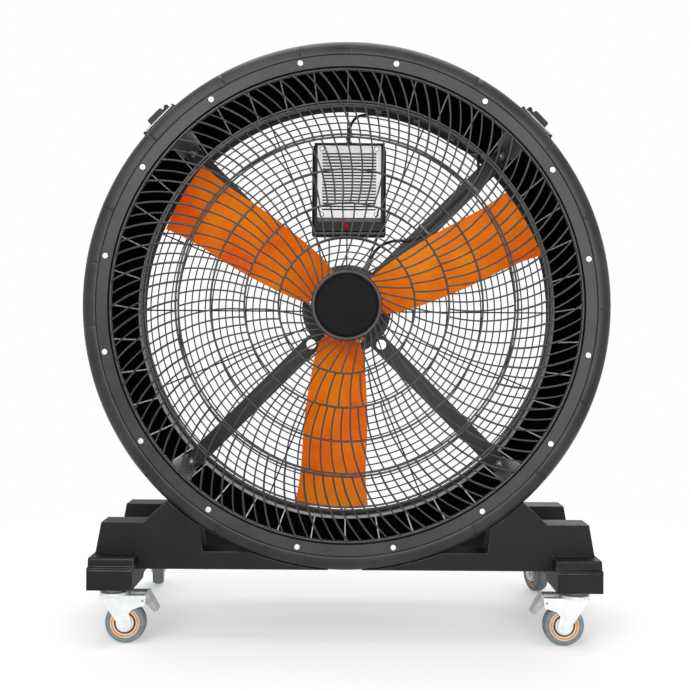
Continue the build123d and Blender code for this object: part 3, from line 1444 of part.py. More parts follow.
def fork_side(braked):
    """The side view of a fork: (along the trail, height)."""
    if braked:
        nose = [(TRAIL + 49, WHEEL_RADIUS + 43), (TRAIL + 52, FORK_TOP)]
    else:
        nose = [(TRAIL + 37, FORK_TOP)]
    with BuildSketch() as side:
        with BuildLine():
            Polyline(
                (TRAIL - 60, FORK_TOP),
                (TRAIL - 60, FORK_TOP - 4),
                (TRAIL - 17, WHEEL_RADIUS + 2),
            )
            ThreePointArc(
                (TRAIL - 17, WHEEL_RADIUS + 2),
                (TRAIL, WHEEL_RADIUS - 17),
                (TRAIL + 16, WHEEL_RADIUS + 5),
            )
            Polyline(
                (TRAIL + 16, WHEEL_RADIUS + 5),
                (TRAIL + 11, WHEEL_RADIUS + 24),
                (TRAIL + 18, WHEEL_RADIUS + 34),
                (TRAIL + 34, WHEEL_RADIUS + 40),
                *nose,
                (TRAIL - 60, FORK_TOP),
            )
        make_face()
    return side.sketch


def caster_fork(braked):
    """A pressed fork with its ball race and king pin, and the axle with its nuts."""
    with BuildPart() as fork:
        add(across(fork_side(braked), FORK_OUTSIDE))
        add(across(fork_side(braked), FORK_INSIDE), mode=Mode.SUBTRACT)
        with BuildSketch(Plane.XY.offset(FORK_TOP - FORK_WALL)):
            with Locations((TRAIL - 20, 0)):
                Rectangle(80, 2 * FORK_OUTSIDE)
        extrude(amount=FORK_WALL)
        add(across(disc(TRAIL, WHEEL_RADIUS, AXLE + PIN_GAP), FORK_OUTSIDE), mode=Mode.SUBTRACT)
        if braked:
            pedal_bore = disc(PEDAL_AT, PEDAL_UP, PEDAL_PIN + PIN_GAP)
            add(across(pedal_bore, FORK_OUTSIDE), mode=Mode.SUBTRACT)
        with BuildSketch(Plane.XY.offset(FORK_TOP)):
            Circle(RACE_RADIUS)
        extrude(amount=RACE_TALL)
        fillet(fork.edges().group_by(Axis.Z)[-1], 3)
        with BuildSketch(Plane.XY.offset(FORK_TOP - FORK_WALL)):
            Circle(KING_PIN)
        extrude(amount=PLATE_BOTTOM + CASTER_PLATE - 0.5 - FORK_TOP + FORK_WALL)
    with BuildPart() as axle:
        add(across(disc(TRAIL, WHEEL_RADIUS, AXLE), FORK_OUTSIDE + 7))
        for side in (-1, 1):
            with BuildSketch(Plane.XZ.offset(side * (FORK_OUTSIDE + SEAT))):
                with Locations((TRAIL, WHEEL_RADIUS)):
                    RegularPolygon(AXLE_NUT, 6)
            extrude(amount=side * 5)
    return fork.part.solids() + axle.part.solids()


def caster_wheel():
    """Core, coloured band and tyre, each a separate ring."""
    low = Plane.XZ.offset(-WHEEL_WIDTH / 2)
    with BuildPart() as wheel:
        with BuildSketch(low.offset(-1)):
            with Locations((TRAIL, WHEEL_RADIUS)):
                Circle(CORE_RADIUS)
                Circle(AXLE + PIN_GAP, mode=Mode.SUBTRACT)
        extrude(amount=WHEEL_WIDTH + 2)
        with BuildSketch(low.offset(1.5)):
            with Locations((TRAIL, WHEEL_RADIUS)):
                Circle(BAND_RADIUS)
                Circle(CORE_RADIUS + PIN_GAP, mode=Mode.SUBTRACT)
        extrude(amount=WHEEL_WIDTH - 3)
    with BuildPart() as tyre:
        with BuildSketch(low):
            with Locations((TRAIL, WHEEL_RADIUS)):
                Circle(WHEEL_RADIUS)
        extrude(amount=WHEEL_WIDTH)
        fillet(tyre.edges(), 5)
        with BuildSketch(low):
            with Locations((TRAIL, WHEEL_RADIUS)):
                Circle(BAND_RADIUS + PIN_GAP)
        extrude(amount=WHEEL_WIDTH, mode=Mode.SUBTRACT)
    return wheel.part.solids() + tyre.part.solids()


def brake_pedal():
    """A folded pedal plate on a cross pin, and the lever that it presses with."""
    half = FORK_INSIDE - 1
    flange = outline([
        (PEDAL_AT - 3, PEDAL_UP - 5),
        (PEDAL_AT, PEDAL_UP + 8),
        (PEDAL_AT + 10, PEDAL_UP + 22),
        (PEDAL_AT + 36, PEDAL_UP - 24),
        (PEDAL_AT + 27, PEDAL_UP - 28),
        (PEDAL_AT + 6, PEDAL_UP - 6),
    ])
    hollow = outline([
        (PEDAL_AT - 8, PEDAL_UP - 5),
        (PEDAL_AT, PEDAL_UP + 30),
        (PEDAL_AT + 10 - PEDAL_WALL, PEDAL_UP + 21),
        (PEDAL_AT + 36 - PEDAL_WALL, PEDAL_UP - 25),
        (PEDAL_AT + 27, PEDAL_UP - 40),
    ])
    with BuildPart() as pedal:
        add(across(flange, half))
        add(across(hollow, half - PEDAL_WALL), mode=Mode.SUBTRACT)
        add(across(disc(PEDAL_AT, PEDAL_UP, PEDAL_PIN), FORK_OUTSIDE + 1))
    with BuildPart() as lever:
        with BuildSketch(Plane.XY.offset(LEVER_LOW)):
            with Locations(((LEVER_START + LEVER_END) / 2, 0)):
                Rectangle(LEVER_END - LEVER_START, 2 * (half - PEDAL_WALL - SEAT))
        extrude(amount=LEVER_TALL)
        fillet(lever.edges().filter_by(Axis.Z), 3)
    return pedal.part.solids() + lever.part.solids()


with BuildPart() as caster_plates:
    for name, x, y, trail_way in CASTERS:
        with BuildSketch(Plane.XY.offset(PLATE_BOTTOM)):
            with Locations((x, y)):
                Rectangle(CASTER_PLATE_LONG, CASTER_PLATE_WIDE)
                Circle(KING_PIN + PIN_GAP, mode=Mode.SUBTRACT)
        extrude(amount=CASTER_PLATE)
        with BuildSketch(Plane.XY.offset(RACE_TOP + RACE_GAP)):
            with Locations((x, y)):
                Circle(RACE_RADIUS - 4)
                Circle(KING_PIN + PIN_GAP, mode=Mode.SUBTRACT)
        extrude(amount=PLATE_BOTTOM - RACE_TOP - RACE_GAP)
save(caster_plates, "caster_plates")


def placed(solids, x, y, trail_way):
    """Solids made at the origin with the trail along +X, set under their foot."""
    place = Location((x, y, 0), (0, 0, trail_way))
    return [solid.moved(place) for solid in solids]


wheel = caster_wheel()
pedal = brake_pedal()
for name, x, y, trail_way in CASTERS:
    braked = name.startswith("front")
    with BuildPart() as placed_fork:
        add(placed(caster_fork(braked), x, y, trail_way))
    save(placed_fork, f"caster_fork_{name}")
    with BuildPart() as placed_wheel:
        add(placed(wheel, x, y, trail_way))
    save(placed_wheel, f"caster_wheel_{name}")
    if braked:
        with BuildPart() as placed_pedal:
            add(placed(pedal, x, y, trail_way))
        save(placed_pedal, f"brake_pedal_{name[6:]}")
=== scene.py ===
"""Looks of the drum fan: finishes, finer pieces, light and camera, in the frame's own axes.

Places on the fan are given by radius, clock angle (degrees from the top, clockwise seen from
the front) and depth behind the drum's front face. Shapes are written in millimetres and
scaled by MM; the camera, the lamps and the floor are written in metres.
"""
import json
import math

import bpy
from mathutils import Matrix, Vector


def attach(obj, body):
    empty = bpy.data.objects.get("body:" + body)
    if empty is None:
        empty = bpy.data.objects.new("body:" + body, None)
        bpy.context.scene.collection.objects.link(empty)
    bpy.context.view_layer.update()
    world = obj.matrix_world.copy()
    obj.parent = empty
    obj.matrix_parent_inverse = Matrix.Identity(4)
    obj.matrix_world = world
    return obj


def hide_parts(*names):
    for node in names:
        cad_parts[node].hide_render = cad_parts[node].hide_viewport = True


MM = 0.001
AXIS = 0.821          # height of the fan's axis, in metres
FACE = -0.2725        # Y of the drum's front face, in metres

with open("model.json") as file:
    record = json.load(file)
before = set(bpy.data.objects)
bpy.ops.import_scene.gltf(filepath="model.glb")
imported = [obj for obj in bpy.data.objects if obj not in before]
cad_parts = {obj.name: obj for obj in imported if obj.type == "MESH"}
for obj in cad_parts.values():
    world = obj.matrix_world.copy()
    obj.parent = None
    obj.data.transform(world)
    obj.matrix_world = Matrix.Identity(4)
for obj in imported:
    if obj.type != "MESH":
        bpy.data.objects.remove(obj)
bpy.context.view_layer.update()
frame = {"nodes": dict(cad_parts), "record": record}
nodes = frame["nodes"]
scene = bpy.context.scene
scene.view_settings.view_transform = "Standard"


# ---------------------------------------------------------------- camera
PHOTO_SIZE = 690      # pixels
FOCAL_PIXELS = 918
SENSOR = 36           # millimetres
CAMERA_AT = (-0.0035, -2.4945, 0.7255)
ROLL = 0.4            # degrees

camera_data = bpy.data.cameras.new("camera")
camera_data.sensor_width = SENSOR
camera_data.lens = camera_data.sensor_width * FOCAL_PIXELS / PHOTO_SIZE
camera = bpy.data.objects.new("camera", camera_data)
camera.location = CAMERA_AT
camera.rotation_euler = (
    Matrix.Rotation(math.radians(90), 3, "X") @ Matrix.Rotation(math.radians(ROLL), 3, "Z")
).to_euler()
scene.collection.objects.link(camera)
scene.camera = camera


# ---------------------------------------------------------------- places and meshes
def place(radius, clock, depth):
    """A point on the fan by radius, clock angle and depth."""
    turn = math.radians(clock)
    return Vector((
        radius * MM * math.sin(turn),
        FACE + depth * MM,
        AXIS + radius * MM * math.cos(turn),
    ))


def new_piece(name, verts, faces, material, body, slot, smooth=True):
    """A mesh piece that rides on a body."""
    mesh = bpy.data.meshes.new(name)
    mesh.from_pydata([tuple(v) for v in verts], [], faces)
    mesh.validate()
    piece = bpy.data.objects.new(name, mesh)
    scene.collection.objects.link(piece)
    mesh.materials.append(material)
    if smooth:
        mesh.shade_smooth()
    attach(piece, body)
    return piece


def lathe(corners, angles, point):
    """Vertices and faces of a closed profile of (radius, along) corners turned full circle."""
    verts = [point(radius, angle, along) for angle in angles for radius, along in corners]
    count, ring = len(corners), len(angles)
    faces = []
    for step in range(ring):
        here, there = step * count, ((step + 1) % ring) * count
        for side in range(count):
            after = (side + 1) % count
            faces.append((here + side, here + after, there + after, there + side))
    return verts, faces


def steps_round(count):
    """Even angles round a full circle."""
    return [360 * step / count for step in range(count)]


def arc_corners(middle, radii, first, last, count):
    """Corners of an elliptical arc, its angles in degrees from the outward radius."""
    turns = [math.radians(first + (last - first) * n / count) for n in range(count + 1)]
    return [
        (middle[0] + radii[0] * math.cos(turn), middle[1] + radii[1] * math.sin(turn))
        for turn in turns
    ]


def sharp_from(piece, degrees):
    """Smooth shading that keeps edges sharper than an angle."""
    piece.data.set_sharp_from_angle(angle=math.radians(degrees))


# ---------------------------------------------------------------- finishes
PATCH_DETAIL, PATCH_ROUGHNESS = 6, 0.62
PATCH_LOW, PATCH_HIGH = 0.35, 0.65    # noise between which one colour turns into the other
DULL_LOW, DULL_HIGH = 0.85, 1.2       # share of the roughness from patch to patch
GRAIN_DETAIL = 3
EDGE_SAMPLES = 4
EDGE_TINT_START, EDGE_TINT_FULL = 0.995, 0.93   # cosine from the true normal to the rounded one


def linear(red, green, blue):
    """A colour of 0 to 255 as the shader's linear values."""
    def one(value):
        value /= 255
        return value / 12.92 if value <= 0.04045 else ((value + 0.055) / 1.055) ** 2.4
    return (one(red), one(green), one(blue), 1.0)


def finish(name, colour, second, rough=0.5, metal=0.0, patch=18.0, grain=1500.0, bump=0.15,
           depth=0.0004, stretch=(1, 1, 1), edge_tint=None, edge=0.0, gloss=0.5):
    """A finish from two colours in soft patches, a fine grain and rounded edges.

    patch and grain are noise scales, depth is the grain's relief in metres, edge is the
    radius of the rounded edges in millimetres, and an edge colour, if given, is laid on those edges
    and broken up by the patches.
    """
    material = bpy.data.materials.new(name)
    material.use_nodes = True
    tree = material.node_tree
    make, link = tree.nodes.new, tree.links.new
    shader = tree.nodes["Principled BSDF"]
    shader.inputs["Metallic"].default_value = metal
    shader.inputs["Specular IOR Level"].default_value = gloss
    where = make("ShaderNodeTexCoord")
    mapping = make("ShaderNodeMapping")
    mapping.inputs["Scale"].default_value = stretch
    link(where.outputs["Object"], mapping.inputs["Vector"])

    patches = make("ShaderNodeTexNoise")
    patches.inputs["Scale"].default_value = patch
    patches.inputs["Detail"].default_value = PATCH_DETAIL
    patches.inputs["Roughness"].default_value = PATCH_ROUGHNESS
    link(mapping.outputs["Vector"], patches.inputs["Vector"])
    spread = make("ShaderNodeMapRange")
    spread.inputs["From Min"].default_value = PATCH_LOW
    spread.inputs["From Max"].default_value = PATCH_HIGH
    link(patches.outputs["Fac"], spread.inputs["Value"])
    tone = make("ShaderNodeMix")
    tone.data_type = "RGBA"
    tone.inputs["A"].default_value = linear(*colour)
    tone.inputs["B"].default_value = linear(*second)
    link(spread.outputs["Result"], tone.inputs["Factor"])
    colour_out = tone.outputs["Result"]

    dull = make("ShaderNodeMapRange")
    dull.inputs["To Min"].default_value = rough * DULL_LOW
    dull.inputs["To Max"].default_value = min(1, rough * DULL_HIGH)
    link(patches.outputs["Fac"], dull.inputs["Value"])
    link(dull.outputs["Result"], shader.inputs["Roughness"])

    fine = make("ShaderNodeTexNoise")
    fine.inputs["Scale"].default_value = grain
    fine.inputs["Detail"].default_value = GRAIN_DETAIL
    link(mapping.outputs["Vector"], fine.inputs["Vector"])
    relief = make("ShaderNodeBump")
    relief.inputs["Strength"].default_value = bump
    relief.inputs["Distance"].default_value = depth
    link(fine.outputs["Fac"], relief.inputs["Height"])
    if edge:
        round_edge = make("ShaderNodeBevel")
        round_edge.samples = EDGE_SAMPLES
        round_edge.inputs["Radius"].default_value = edge * MM
        link(round_edge.outputs["Normal"], relief.inputs["Normal"])
    # A lighter colour on the rounded edges, where the rounded normal leaves the true one, broken up
    # by the patches.
    if edge_tint:
        flat = make("ShaderNodeNewGeometry")
        same = make("ShaderNodeVectorMath")
        same.operation = "DOT_PRODUCT"
        link(round_edge.outputs["Normal"], same.inputs[0])
        link(flat.outputs["Normal"], same.inputs[1])
        edge_share = make("ShaderNodeMapRange")
        edge_share.inputs["From Min"].default_value = EDGE_TINT_START
        edge_share.inputs["From Max"].default_value = EDGE_TINT_FULL
        link(same.outputs["Value"], edge_share.inputs["Value"])
        broken = make("ShaderNodeMath")
        broken.operation = "MULTIPLY"
        link(edge_share.outputs["Result"], broken.inputs[0])
        link(spread.outputs["Result"], broken.inputs[1])
        edge_mix = make("ShaderNodeMix")
        edge_mix.data_type = "RGBA"
        edge_mix.inputs["B"].default_value = linear(*edge_tint)
        link(broken.outputs["Value"], edge_mix.inputs["Factor"])
        link(colour_out, edge_mix.inputs["A"])
        colour_out = edge_mix.outputs["Result"]
    link(colour_out, shader.inputs["Base Color"])
    link(relief.outputs["Normal"], shader.inputs["Normal"])
    return material


drum_black = finish("drum_black", (18, 20, 18), (44, 46, 43), rough=0.36, patch=9, grain=900,
                    bump=0.3, depth=0.0006, edge=1.2, gloss=0.38)
ring_black = finish("ring_black", (24, 26, 25), (44, 46, 45), rough=0.4, patch=12, grain=900,
                    bump=0.25, edge=1.0, gloss=0.45)
# The base's rounded edges take a lighter brownish grey.
base_black = finish("base_black", (15, 14, 14), (25, 24, 24), rough=0.52, patch=14, grain=500,
                    bump=0.4, depth=0.0008, edge_tint=(132, 124, 119), edge=3.0, gloss=0.22)
mesh_black = finish("mesh_black", (7, 7, 8), (15, 15, 17), rough=0.8, patch=60, gloss=0.0)
foam_black = finish("foam_black", (3, 3, 3), (6, 6, 6), rough=0.95, patch=250, grain=400,
                    bump=0.8, depth=0.002, gloss=0.0)
strip_light = finish("strip_light", (150, 150, 150), (30, 30, 32), rough=0.35, metal=0.6,
                     patch=70)
strut_black = finish("strut_black", (12, 12, 13), (24, 24, 25), rough=0.42, patch=14, edge=1.0,
                     gloss=0.4)
wire_grey = finish("wire_grey", (42, 42, 45), (28, 28, 31), rough=0.34, patch=45, bump=0.1,
                   gloss=0.55)
# Painted shade: a darker copy of the guard wire's finish, for the rear guard that sits in shade at
# the back of the drum.
wire_painted_shade = finish("wire_painted_shade", (26, 26, 28), (16, 16, 18), rough=0.5, patch=45, bump=0.1,
                   gloss=0.3)
disc_black = finish("disc_black", (9, 8, 9), (20, 19, 20), rough=0.65, patch=30, bump=0.25,
                    edge=1.0, gloss=0.12)
zinc = finish("zinc", (205, 205, 203), (232, 232, 230), rough=0.28, metal=0.85, patch=60,
              edge=0.4)
chin_grey = finish("chin_grey", (74, 74, 75), (98, 98, 99), rough=0.5, patch=50, edge=0.6)
motor_grey = finish("motor_grey", (16, 16, 17), (28, 28, 30), rough=0.5, patch=25, edge=0.8)
steel = finish("steel", (170, 172, 174), (190, 191, 193), rough=0.3, metal=1.0, patch=40)
windings = finish("windings", (140, 76, 36), (110, 60, 30), rough=0.5, metal=0.4, patch=80)
sheath = finish("sheath", (12, 12, 13), (22, 22, 23), rough=0.55, patch=50)
nylon_grey = finish("nylon_grey", (110, 106, 98), (134, 130, 120), rough=0.5, patch=60, edge=0.5)
blade_orange = finish("blade_orange", (252, 142, 18), (236, 88, 4), rough=0.46, patch=4.5,
                      grain=700, bump=0.12, edge=0.6, gloss=0.12)
hub_cast = finish("hub_cast", (96, 96, 98), (126, 126, 128), rough=0.5, metal=0.6, patch=40,
                  edge=0.8)
box_black = finish("box_black", (4, 4, 5), (20, 20, 22), rough=0.42, patch=35, edge=1.2,
                   gloss=0.25)
cover_steel = finish("cover_steel", (246, 246, 246), (255, 255, 255), rough=0.4, metal=0.1,
                     patch=30, grain=300, bump=0.08, stretch=(0.05, 1, 1), edge=0.5)
board_green = finish("board_green", (12, 34, 20), (20, 46, 28), rough=0.5)
wire_red = finish("wire_red", (225, 16, 22), (200, 12, 18), rough=0.4)
pad_rubber = finish("pad_rubber", (14, 14, 14), (24, 24, 24), rough=0.6, patch=60, edge=1.5,
                    gloss=0.3)
plate_black = finish("plate_black", (12, 12, 12), (26, 26, 26), rough=0.5, patch=40, edge=0.8,
                     gloss=0.3)
# Painted highlight: a light grey for the bar that stands in for the bright line along each handle
# plate's front edge.
edge_highlight_grey = finish("edge_highlight_grey", (142, 142, 137), (178, 178, 172), rough=0.35, metal=0.3,
                    patch=30, stretch=(1, 0.05, 1), edge=0.4)
grip_black = finish("grip_black", (9, 9, 10), (20, 20, 21), rough=0.4, patch=60, edge=1.2,
                    gloss=0.3)
caster_zinc = finish("caster_zinc", (234, 236, 236), (246, 248, 248), rough=0.3, metal=0.3,
                     patch=50, edge=0.8)
race_mirror = finish("race_mirror", (40, 50, 44), (104, 116, 108), rough=0.2, metal=0.8,
                     patch=60, edge=0.6)
pedal_zinc = finish("pedal_zinc", (138, 142, 140), (176, 180, 178), rough=0.32, metal=0.4,
                    patch=60, edge=0.8)
# Painted shade: a black finish for the ring that stands in for the shaded gap between a wheel's
# core and its band.
gap_shade_black = finish("gap_shade_black", (10, 10, 11), (22, 22, 23), rough=0.5, patch=60)
tyre_grey = finish("tyre_grey", (132, 146, 154), (106, 120, 128), rough=0.6, patch=90, bump=0.2,
                   gloss=0.4)
band_tan = finish("band_tan", (238, 206, 172), (232, 186, 142), rough=0.5, patch=60)
band_dark = finish("band_dark", (206, 142, 96), (196, 124, 74), rough=0.5, patch=60)
core_white = finish("core_white", (232, 233, 232), (242, 243, 242), rough=0.4, patch=60)
knob_gloss = finish("knob_gloss", (20, 20, 20), (30, 30, 30), rough=0.25, edge=0.6)
rocker_red = finish("rocker_red", (186, 26, 20), (168, 20, 16), rough=0.3, edge=0.6)

SLOT_FINISHES = {
    "drum_plastic": drum_black, "base_plastic": base_black, "foam": foam_black,
    "liner_mesh": mesh_black, "light_strip": strip_light, "strut_paint": strut_black,
    "guard_wire": wire_grey, "hub_disc": disc_black, "zinc": zinc, "motor_paint": motor_grey,
    "steel": steel, "copper_stator": windings, "lead_rubber": sheath,
    "lead_fitting": nylon_grey, "blade": blade_orange, "hub_cast": hub_cast,
    "box_black": box_black, "box_cover": cover_steel, "board": board_green,
    "wires": wire_red, "handle_pad": pad_rubber, "handle_plate": plate_black,
    "handle_grip": grip_black, "caster_steel": caster_zinc, "caster_wheel": tyre_grey,
    "knob_black": knob_gloss, "rocker_red": rocker_red,
}
for part in frame["record"]["subparts"]:
    mesh = nodes[part["node"]].data
    mesh.materials.clear()
    mesh.materials.append(SLOT_FINISHES[part["material_slot"]])
nodes["front_ring"].data.materials[0] = ring_black
# Painted shade: the rear guard's wires get the darker copy of the wire finish.
for name in ("rear_guard_rings", "rear_guard_spokes"):
    nodes[name].data.materials[0] = wire_painted_shade
nodes["caster_plates"].data.materials[0] = race_mirror
for name in ("brake_pedal_left", "brake_pedal_right"):
    nodes[name].data.materials[0] = pedal_zinc


# ---------------------------------------------------------------- drum
SEAMS = (-80.7, -68.5, -49.6, -29, -10.8, 0.4, 11.7, 30, 51.4, 69.6, 90.5,
         112, 131, 150, 171, -171, -150, -131, -112, -95)     # clock angles
SEAM_HALF = 0.13      # degrees
SEAM_SINK = 0.8
BEAD_RADIUS, BEAD_DEPTH = 609, 34     # where the bead's face starts and ends
SKIN_STEPS, SKIN_CREASE = 288, 50

SKIN_PROFILE = (      # corners of the drum's wall: (radius, depth)
    [(607.6, 6.3), (607.6, 3.6), (608.6, 1.4), (610.6, 0.0)]
    + arc_corners((615, 22), (29.8, 22), -90, 0, 14)
    + arc_corners((637, 27), (7.8, 9), 0, 68, 6)
    + [(640, 412), (637, 412), (637, 36)]
    + [(642, 28), (640, 17), (630, 8), (612, 3.5), (610.6, 9.3), (588, 9.3), (588, 6.3)]
)
skin_angles = sorted(
    steps_round(SKIN_STEPS)
    + [(seam + side) % 360 for seam in SEAMS for side in (-SEAM_HALF, 0, SEAM_HALF)]
)
seam_set = {seam % 360 for seam in SEAMS}


def seam_point(radius, angle, depth):
    """A point of the skin: the bead's face dips a little at its seams."""
    on_bead = angle in seam_set and BEAD_RADIUS < radius and depth < BEAD_DEPTH
    return place(radius - SEAM_SINK * on_bead, angle, depth + SEAM_SINK * on_bead)


skin = new_piece("drum_skin", *lathe(SKIN_PROFILE, skin_angles, seam_point), drum_black,
                 "machine", "drum_plastic")
sharp_from(skin, SKIN_CREASE)
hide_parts("drum_shell")


# ---------------------------------------------------------------- expanded mesh of the lining
LINER_RADIUS = 582.2
LINER_START, LINER_STOP = 15.6, 339.8
LINER_THICK = 1.2
CELLS_ROUND = 304
CELL_STEP = 6.0       # rows, along the fan's axis
BOND = 1.0            # half the length of the joint between two strands
HOLE = 0.76           # share of a cell's width that is hole


def expanded_mesh():
    """A sheet of diamond holes rolled into the drum."""
    wide = 360 / CELLS_ROUND
    rows = int((LINER_STOP - LINER_START - 2 * BOND - CELL_STEP) / CELL_STEP)
    tall = CELL_STEP - BOND
    outline = [(0, tall), (0.5, BOND), (0.5, -BOND), (0, -tall), (-0.5, -BOND), (-0.5, BOND)]
    verts, faces, known = [], [], {}

    def corner(across, along):
        key = (round(across * 2) % (2 * CELLS_ROUND), round(along * 10))
        if key not in known:
            known[key] = len(verts)
            verts.append(place(LINER_RADIUS, across * wide, along))
        return known[key]

    for row in range(rows):
        middle = LINER_START + tall + CELL_STEP * row
        for cell in range(CELLS_ROUND):
            across = cell + (row % 2) / 2
            outer = [corner(across + u, middle + v) for u, v in outline]
            inner = range(len(verts), len(verts) + 6)
            verts.extend(
                place(LINER_RADIUS, (across + u * HOLE) * wide, middle + v * HOLE)
                for u, v in outline
            )
            for side in range(6):
                after = (side + 1) % 6
                faces.append((outer[side], outer[after], inner[after], inner[side]))
    return verts, faces


liner = new_piece("lining_mesh", *expanded_mesh(), mesh_black, "machine", "liner_mesh", False)
thick = liner.modifiers.new("thick", "SOLIDIFY")
thick.thickness = LINER_THICK * MM
thick.offset = -1
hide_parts("wall_liner")


# ---------------------------------------------------------------- caster wheels
TRAIL, WHEEL_UP = 28, 50
WHEEL_STEPS, WHEEL_CREASE = 96, 40
CASTERS = {           # king pin's X and Y, and the way that the trail points, in degrees
    "front_left": (-559, -262.5, 0), "front_right": (559, -262.5, 180),
    "rear_left": (-559, 259.5, 99), "rear_right": (559, 259.5, -72),
}
TYRE = (              # closed profiles of the wheel's rings: (radius, across the wheel)
    [(36.1, -14.5), (37.5, -16), (44, -16)] + arc_corners((43.5, 0), (6.5, 16), -80, 80, 16)
    + [(44, 16), (37.5, 16), (36.1, 14.5)]
)
BAND = [
    (25.6, -12), (26.4, -14.2), (29.4, -15), (29.8, -14.1), (33.0, -14.1), (33.4, -15),
    (36, -15), (36, 15), (33.4, 15), (33.0, 14.1), (29.8, 14.1), (29.4, 15), (26.4, 14.2),
    (25.6, 12),
]
STRIPE = [(30.4, -14.2), (30.4, -14.8), (32.4, -14.8), (32.4, -14.2)]
STRIPE_BACK = [(radius, -across) for radius, across in reversed(STRIPE)]
CORE = [
    (5.1, -16.8), (10, -16.8), (11, -15.5), (17.4, -14.6), (18.6, -16.4), (21.2, -16.6),
    (21.8, -12), (22.4, -11), (22.4, 11), (21.8, 12), (21.2, 16.6), (18.6, 16.4), (17.4, 14.6),
    (11, 15.5), (10, 16.8), (5.1, 16.8),
]
# Painted shade: a flush black ring laid in the gap between the core and the band, where the gap's
# shade falls.
GAP_SHADE_RING = [(22.5, -13.4), (25.5, -13.8), (25.5, 13.8), (22.5, 13.4)]
WHEEL_RINGS = (
    ("tyre", TYRE, tyre_grey), ("band", BAND, band_tan), ("stripe", STRIPE, band_dark),
    ("stripe_back", STRIPE_BACK, band_dark), ("gap_shade", GAP_SHADE_RING, gap_shade_black), ("core", CORE, core_white),
)

for name, (x, y, way) in CASTERS.items():
    turn = math.radians(way)
    ahead = Vector((math.cos(turn), math.sin(turn), 0))
    axle = Vector((-math.sin(turn), math.cos(turn), 0))
    middle = Vector((x, y, WHEEL_UP)) + ahead * TRAIL

    def wheel_point(radius, angle, across, ahead=ahead, axle=axle, middle=middle):
        """A point of one wheel."""
        spin = math.radians(angle)
        out = ahead * math.cos(spin) + Vector((0, 0, 1)) * math.sin(spin)
        return (middle + out * radius + axle * across) * MM

    for part, corners, look in WHEEL_RINGS:
        ring = new_piece(f"{part}_{name}", *lathe(corners, steps_round(WHEEL_STEPS), wheel_point),
                         look, f"wheel_{name}", "caster_wheel")
        sharp_from(ring, WHEEL_CREASE)
        if part == "tyre":
            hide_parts(f"caster_wheel_{name}")


# ---------------------------------------------------------------- handles and control box
def block(name, centre, half, turn, material, body, slot, chamfer=0.5):
    """A small bar with chamfered edges, turned about the fan's axis by a clock angle.

    half holds half its length, half its size along the axis and half its height.
    """
    x, y, z = half
    c = chamfer
    verts, faces = [], []
    for along in (-y, -y + c, y - c, y):
        k = c if abs(along) == y else 0
        ring = [(-x + k, -z + c), (-x + c, -z + k), (x - c, -z + k), (x - k, -z + c),
                (x - k, z - c), (x - c, z - k), (-x + c, z - k), (-x + k, z - c)]
        for u, v in ring:
            spot = Vector((u, along, v))
            spot.rotate(Matrix.Rotation(math.radians(turn), 3, "Y"))
            verts.append(centre + spot * MM)
    for step in range(3):
        for side in range(8):
            after = (side + 1) % 8
            here, there = step * 8, (step + 1) * 8
            faces.append((here + side, here + after, there + after, there + side))
    faces += [tuple(range(7, -1, -1)), tuple(range(24, 32))]
    return new_piece(name, verts, faces, material, body, slot, False)


HIGHLIGHT_RADIUS, HIGHLIGHT_DEPTH = 653.6, 36.9     # middle of the painted highlight, a light bar along the front edge of a handle's plate
HIGHLIGHT_HALF = (46, 0.9, 1.7)
HANDLE_CLOCK = 45.5

# Painted highlight: a light bar laid along the front edge of each handle's black plate.
for name, clock in (("left", -HANDLE_CLOCK), ("right", HANDLE_CLOCK)):
    block(f"handle_edge_highlight_{name}", place(HIGHLIGHT_RADIUS, clock, HIGHLIGHT_DEPTH), HIGHLIGHT_HALF, clock,
          edge_highlight_grey, "machine", "handle_plate")

BOX_X = 5             # middle of the control box
COVER_UP = 358        # middle of its cover, above the fan's axis
COVER_TOP = 100       # half the cover's height
COVER_SCREWS = (76, 91)
WASHER = [(4.5, 327.1), (4.7, 326.6), (6.6, 326.6), (6.9, 327.1)]     # (radius, depth)
WASHER_STEPS = 28
BROW_HALF, BROW_GAP, BROW_DEPTH, BROW_CHAMFER = (97, 1.7, 3.4), 4.2, 328.2, 1.0
CHIN_HALF, CHIN_GAP, CHIN_DEPTH, CHIN_CHAMFER = (88, 1.3, 5.4), 6.4, 328.6, 0.8


def cover_point(across, up, depth):
    """A point near the control box's cover, from the cover's middle."""
    return Vector(((BOX_X + across) * MM, FACE + depth * MM, AXIS + (COVER_UP + up) * MM))


for number, (side, level) in enumerate(((-1, -1), (-1, 1), (1, -1), (1, 1))):
    def washer_point(radius, angle, along, side=side, level=level):
        """A point of one washer under a screw of the cover."""
        turn = math.radians(angle)
        return cover_point(side * COVER_SCREWS[0] + radius * math.cos(turn),
                           level * COVER_SCREWS[1] + radius * math.sin(turn), along)

    new_piece(f"cover_washer_{number}", *lathe(WASHER, steps_round(WASHER_STEPS), washer_point),
              nylon_grey, "machine", "lead_fitting")

block("box_brow", cover_point(0, COVER_TOP + BROW_GAP, BROW_DEPTH), BROW_HALF, 0, box_black,
      "machine", "box_black", BROW_CHAMFER)
block("box_chin", cover_point(0, -COVER_TOP - CHIN_GAP, CHIN_DEPTH), CHIN_HALF, 0, chin_grey,
      "machine", "box_black", CHIN_CHAMFER)


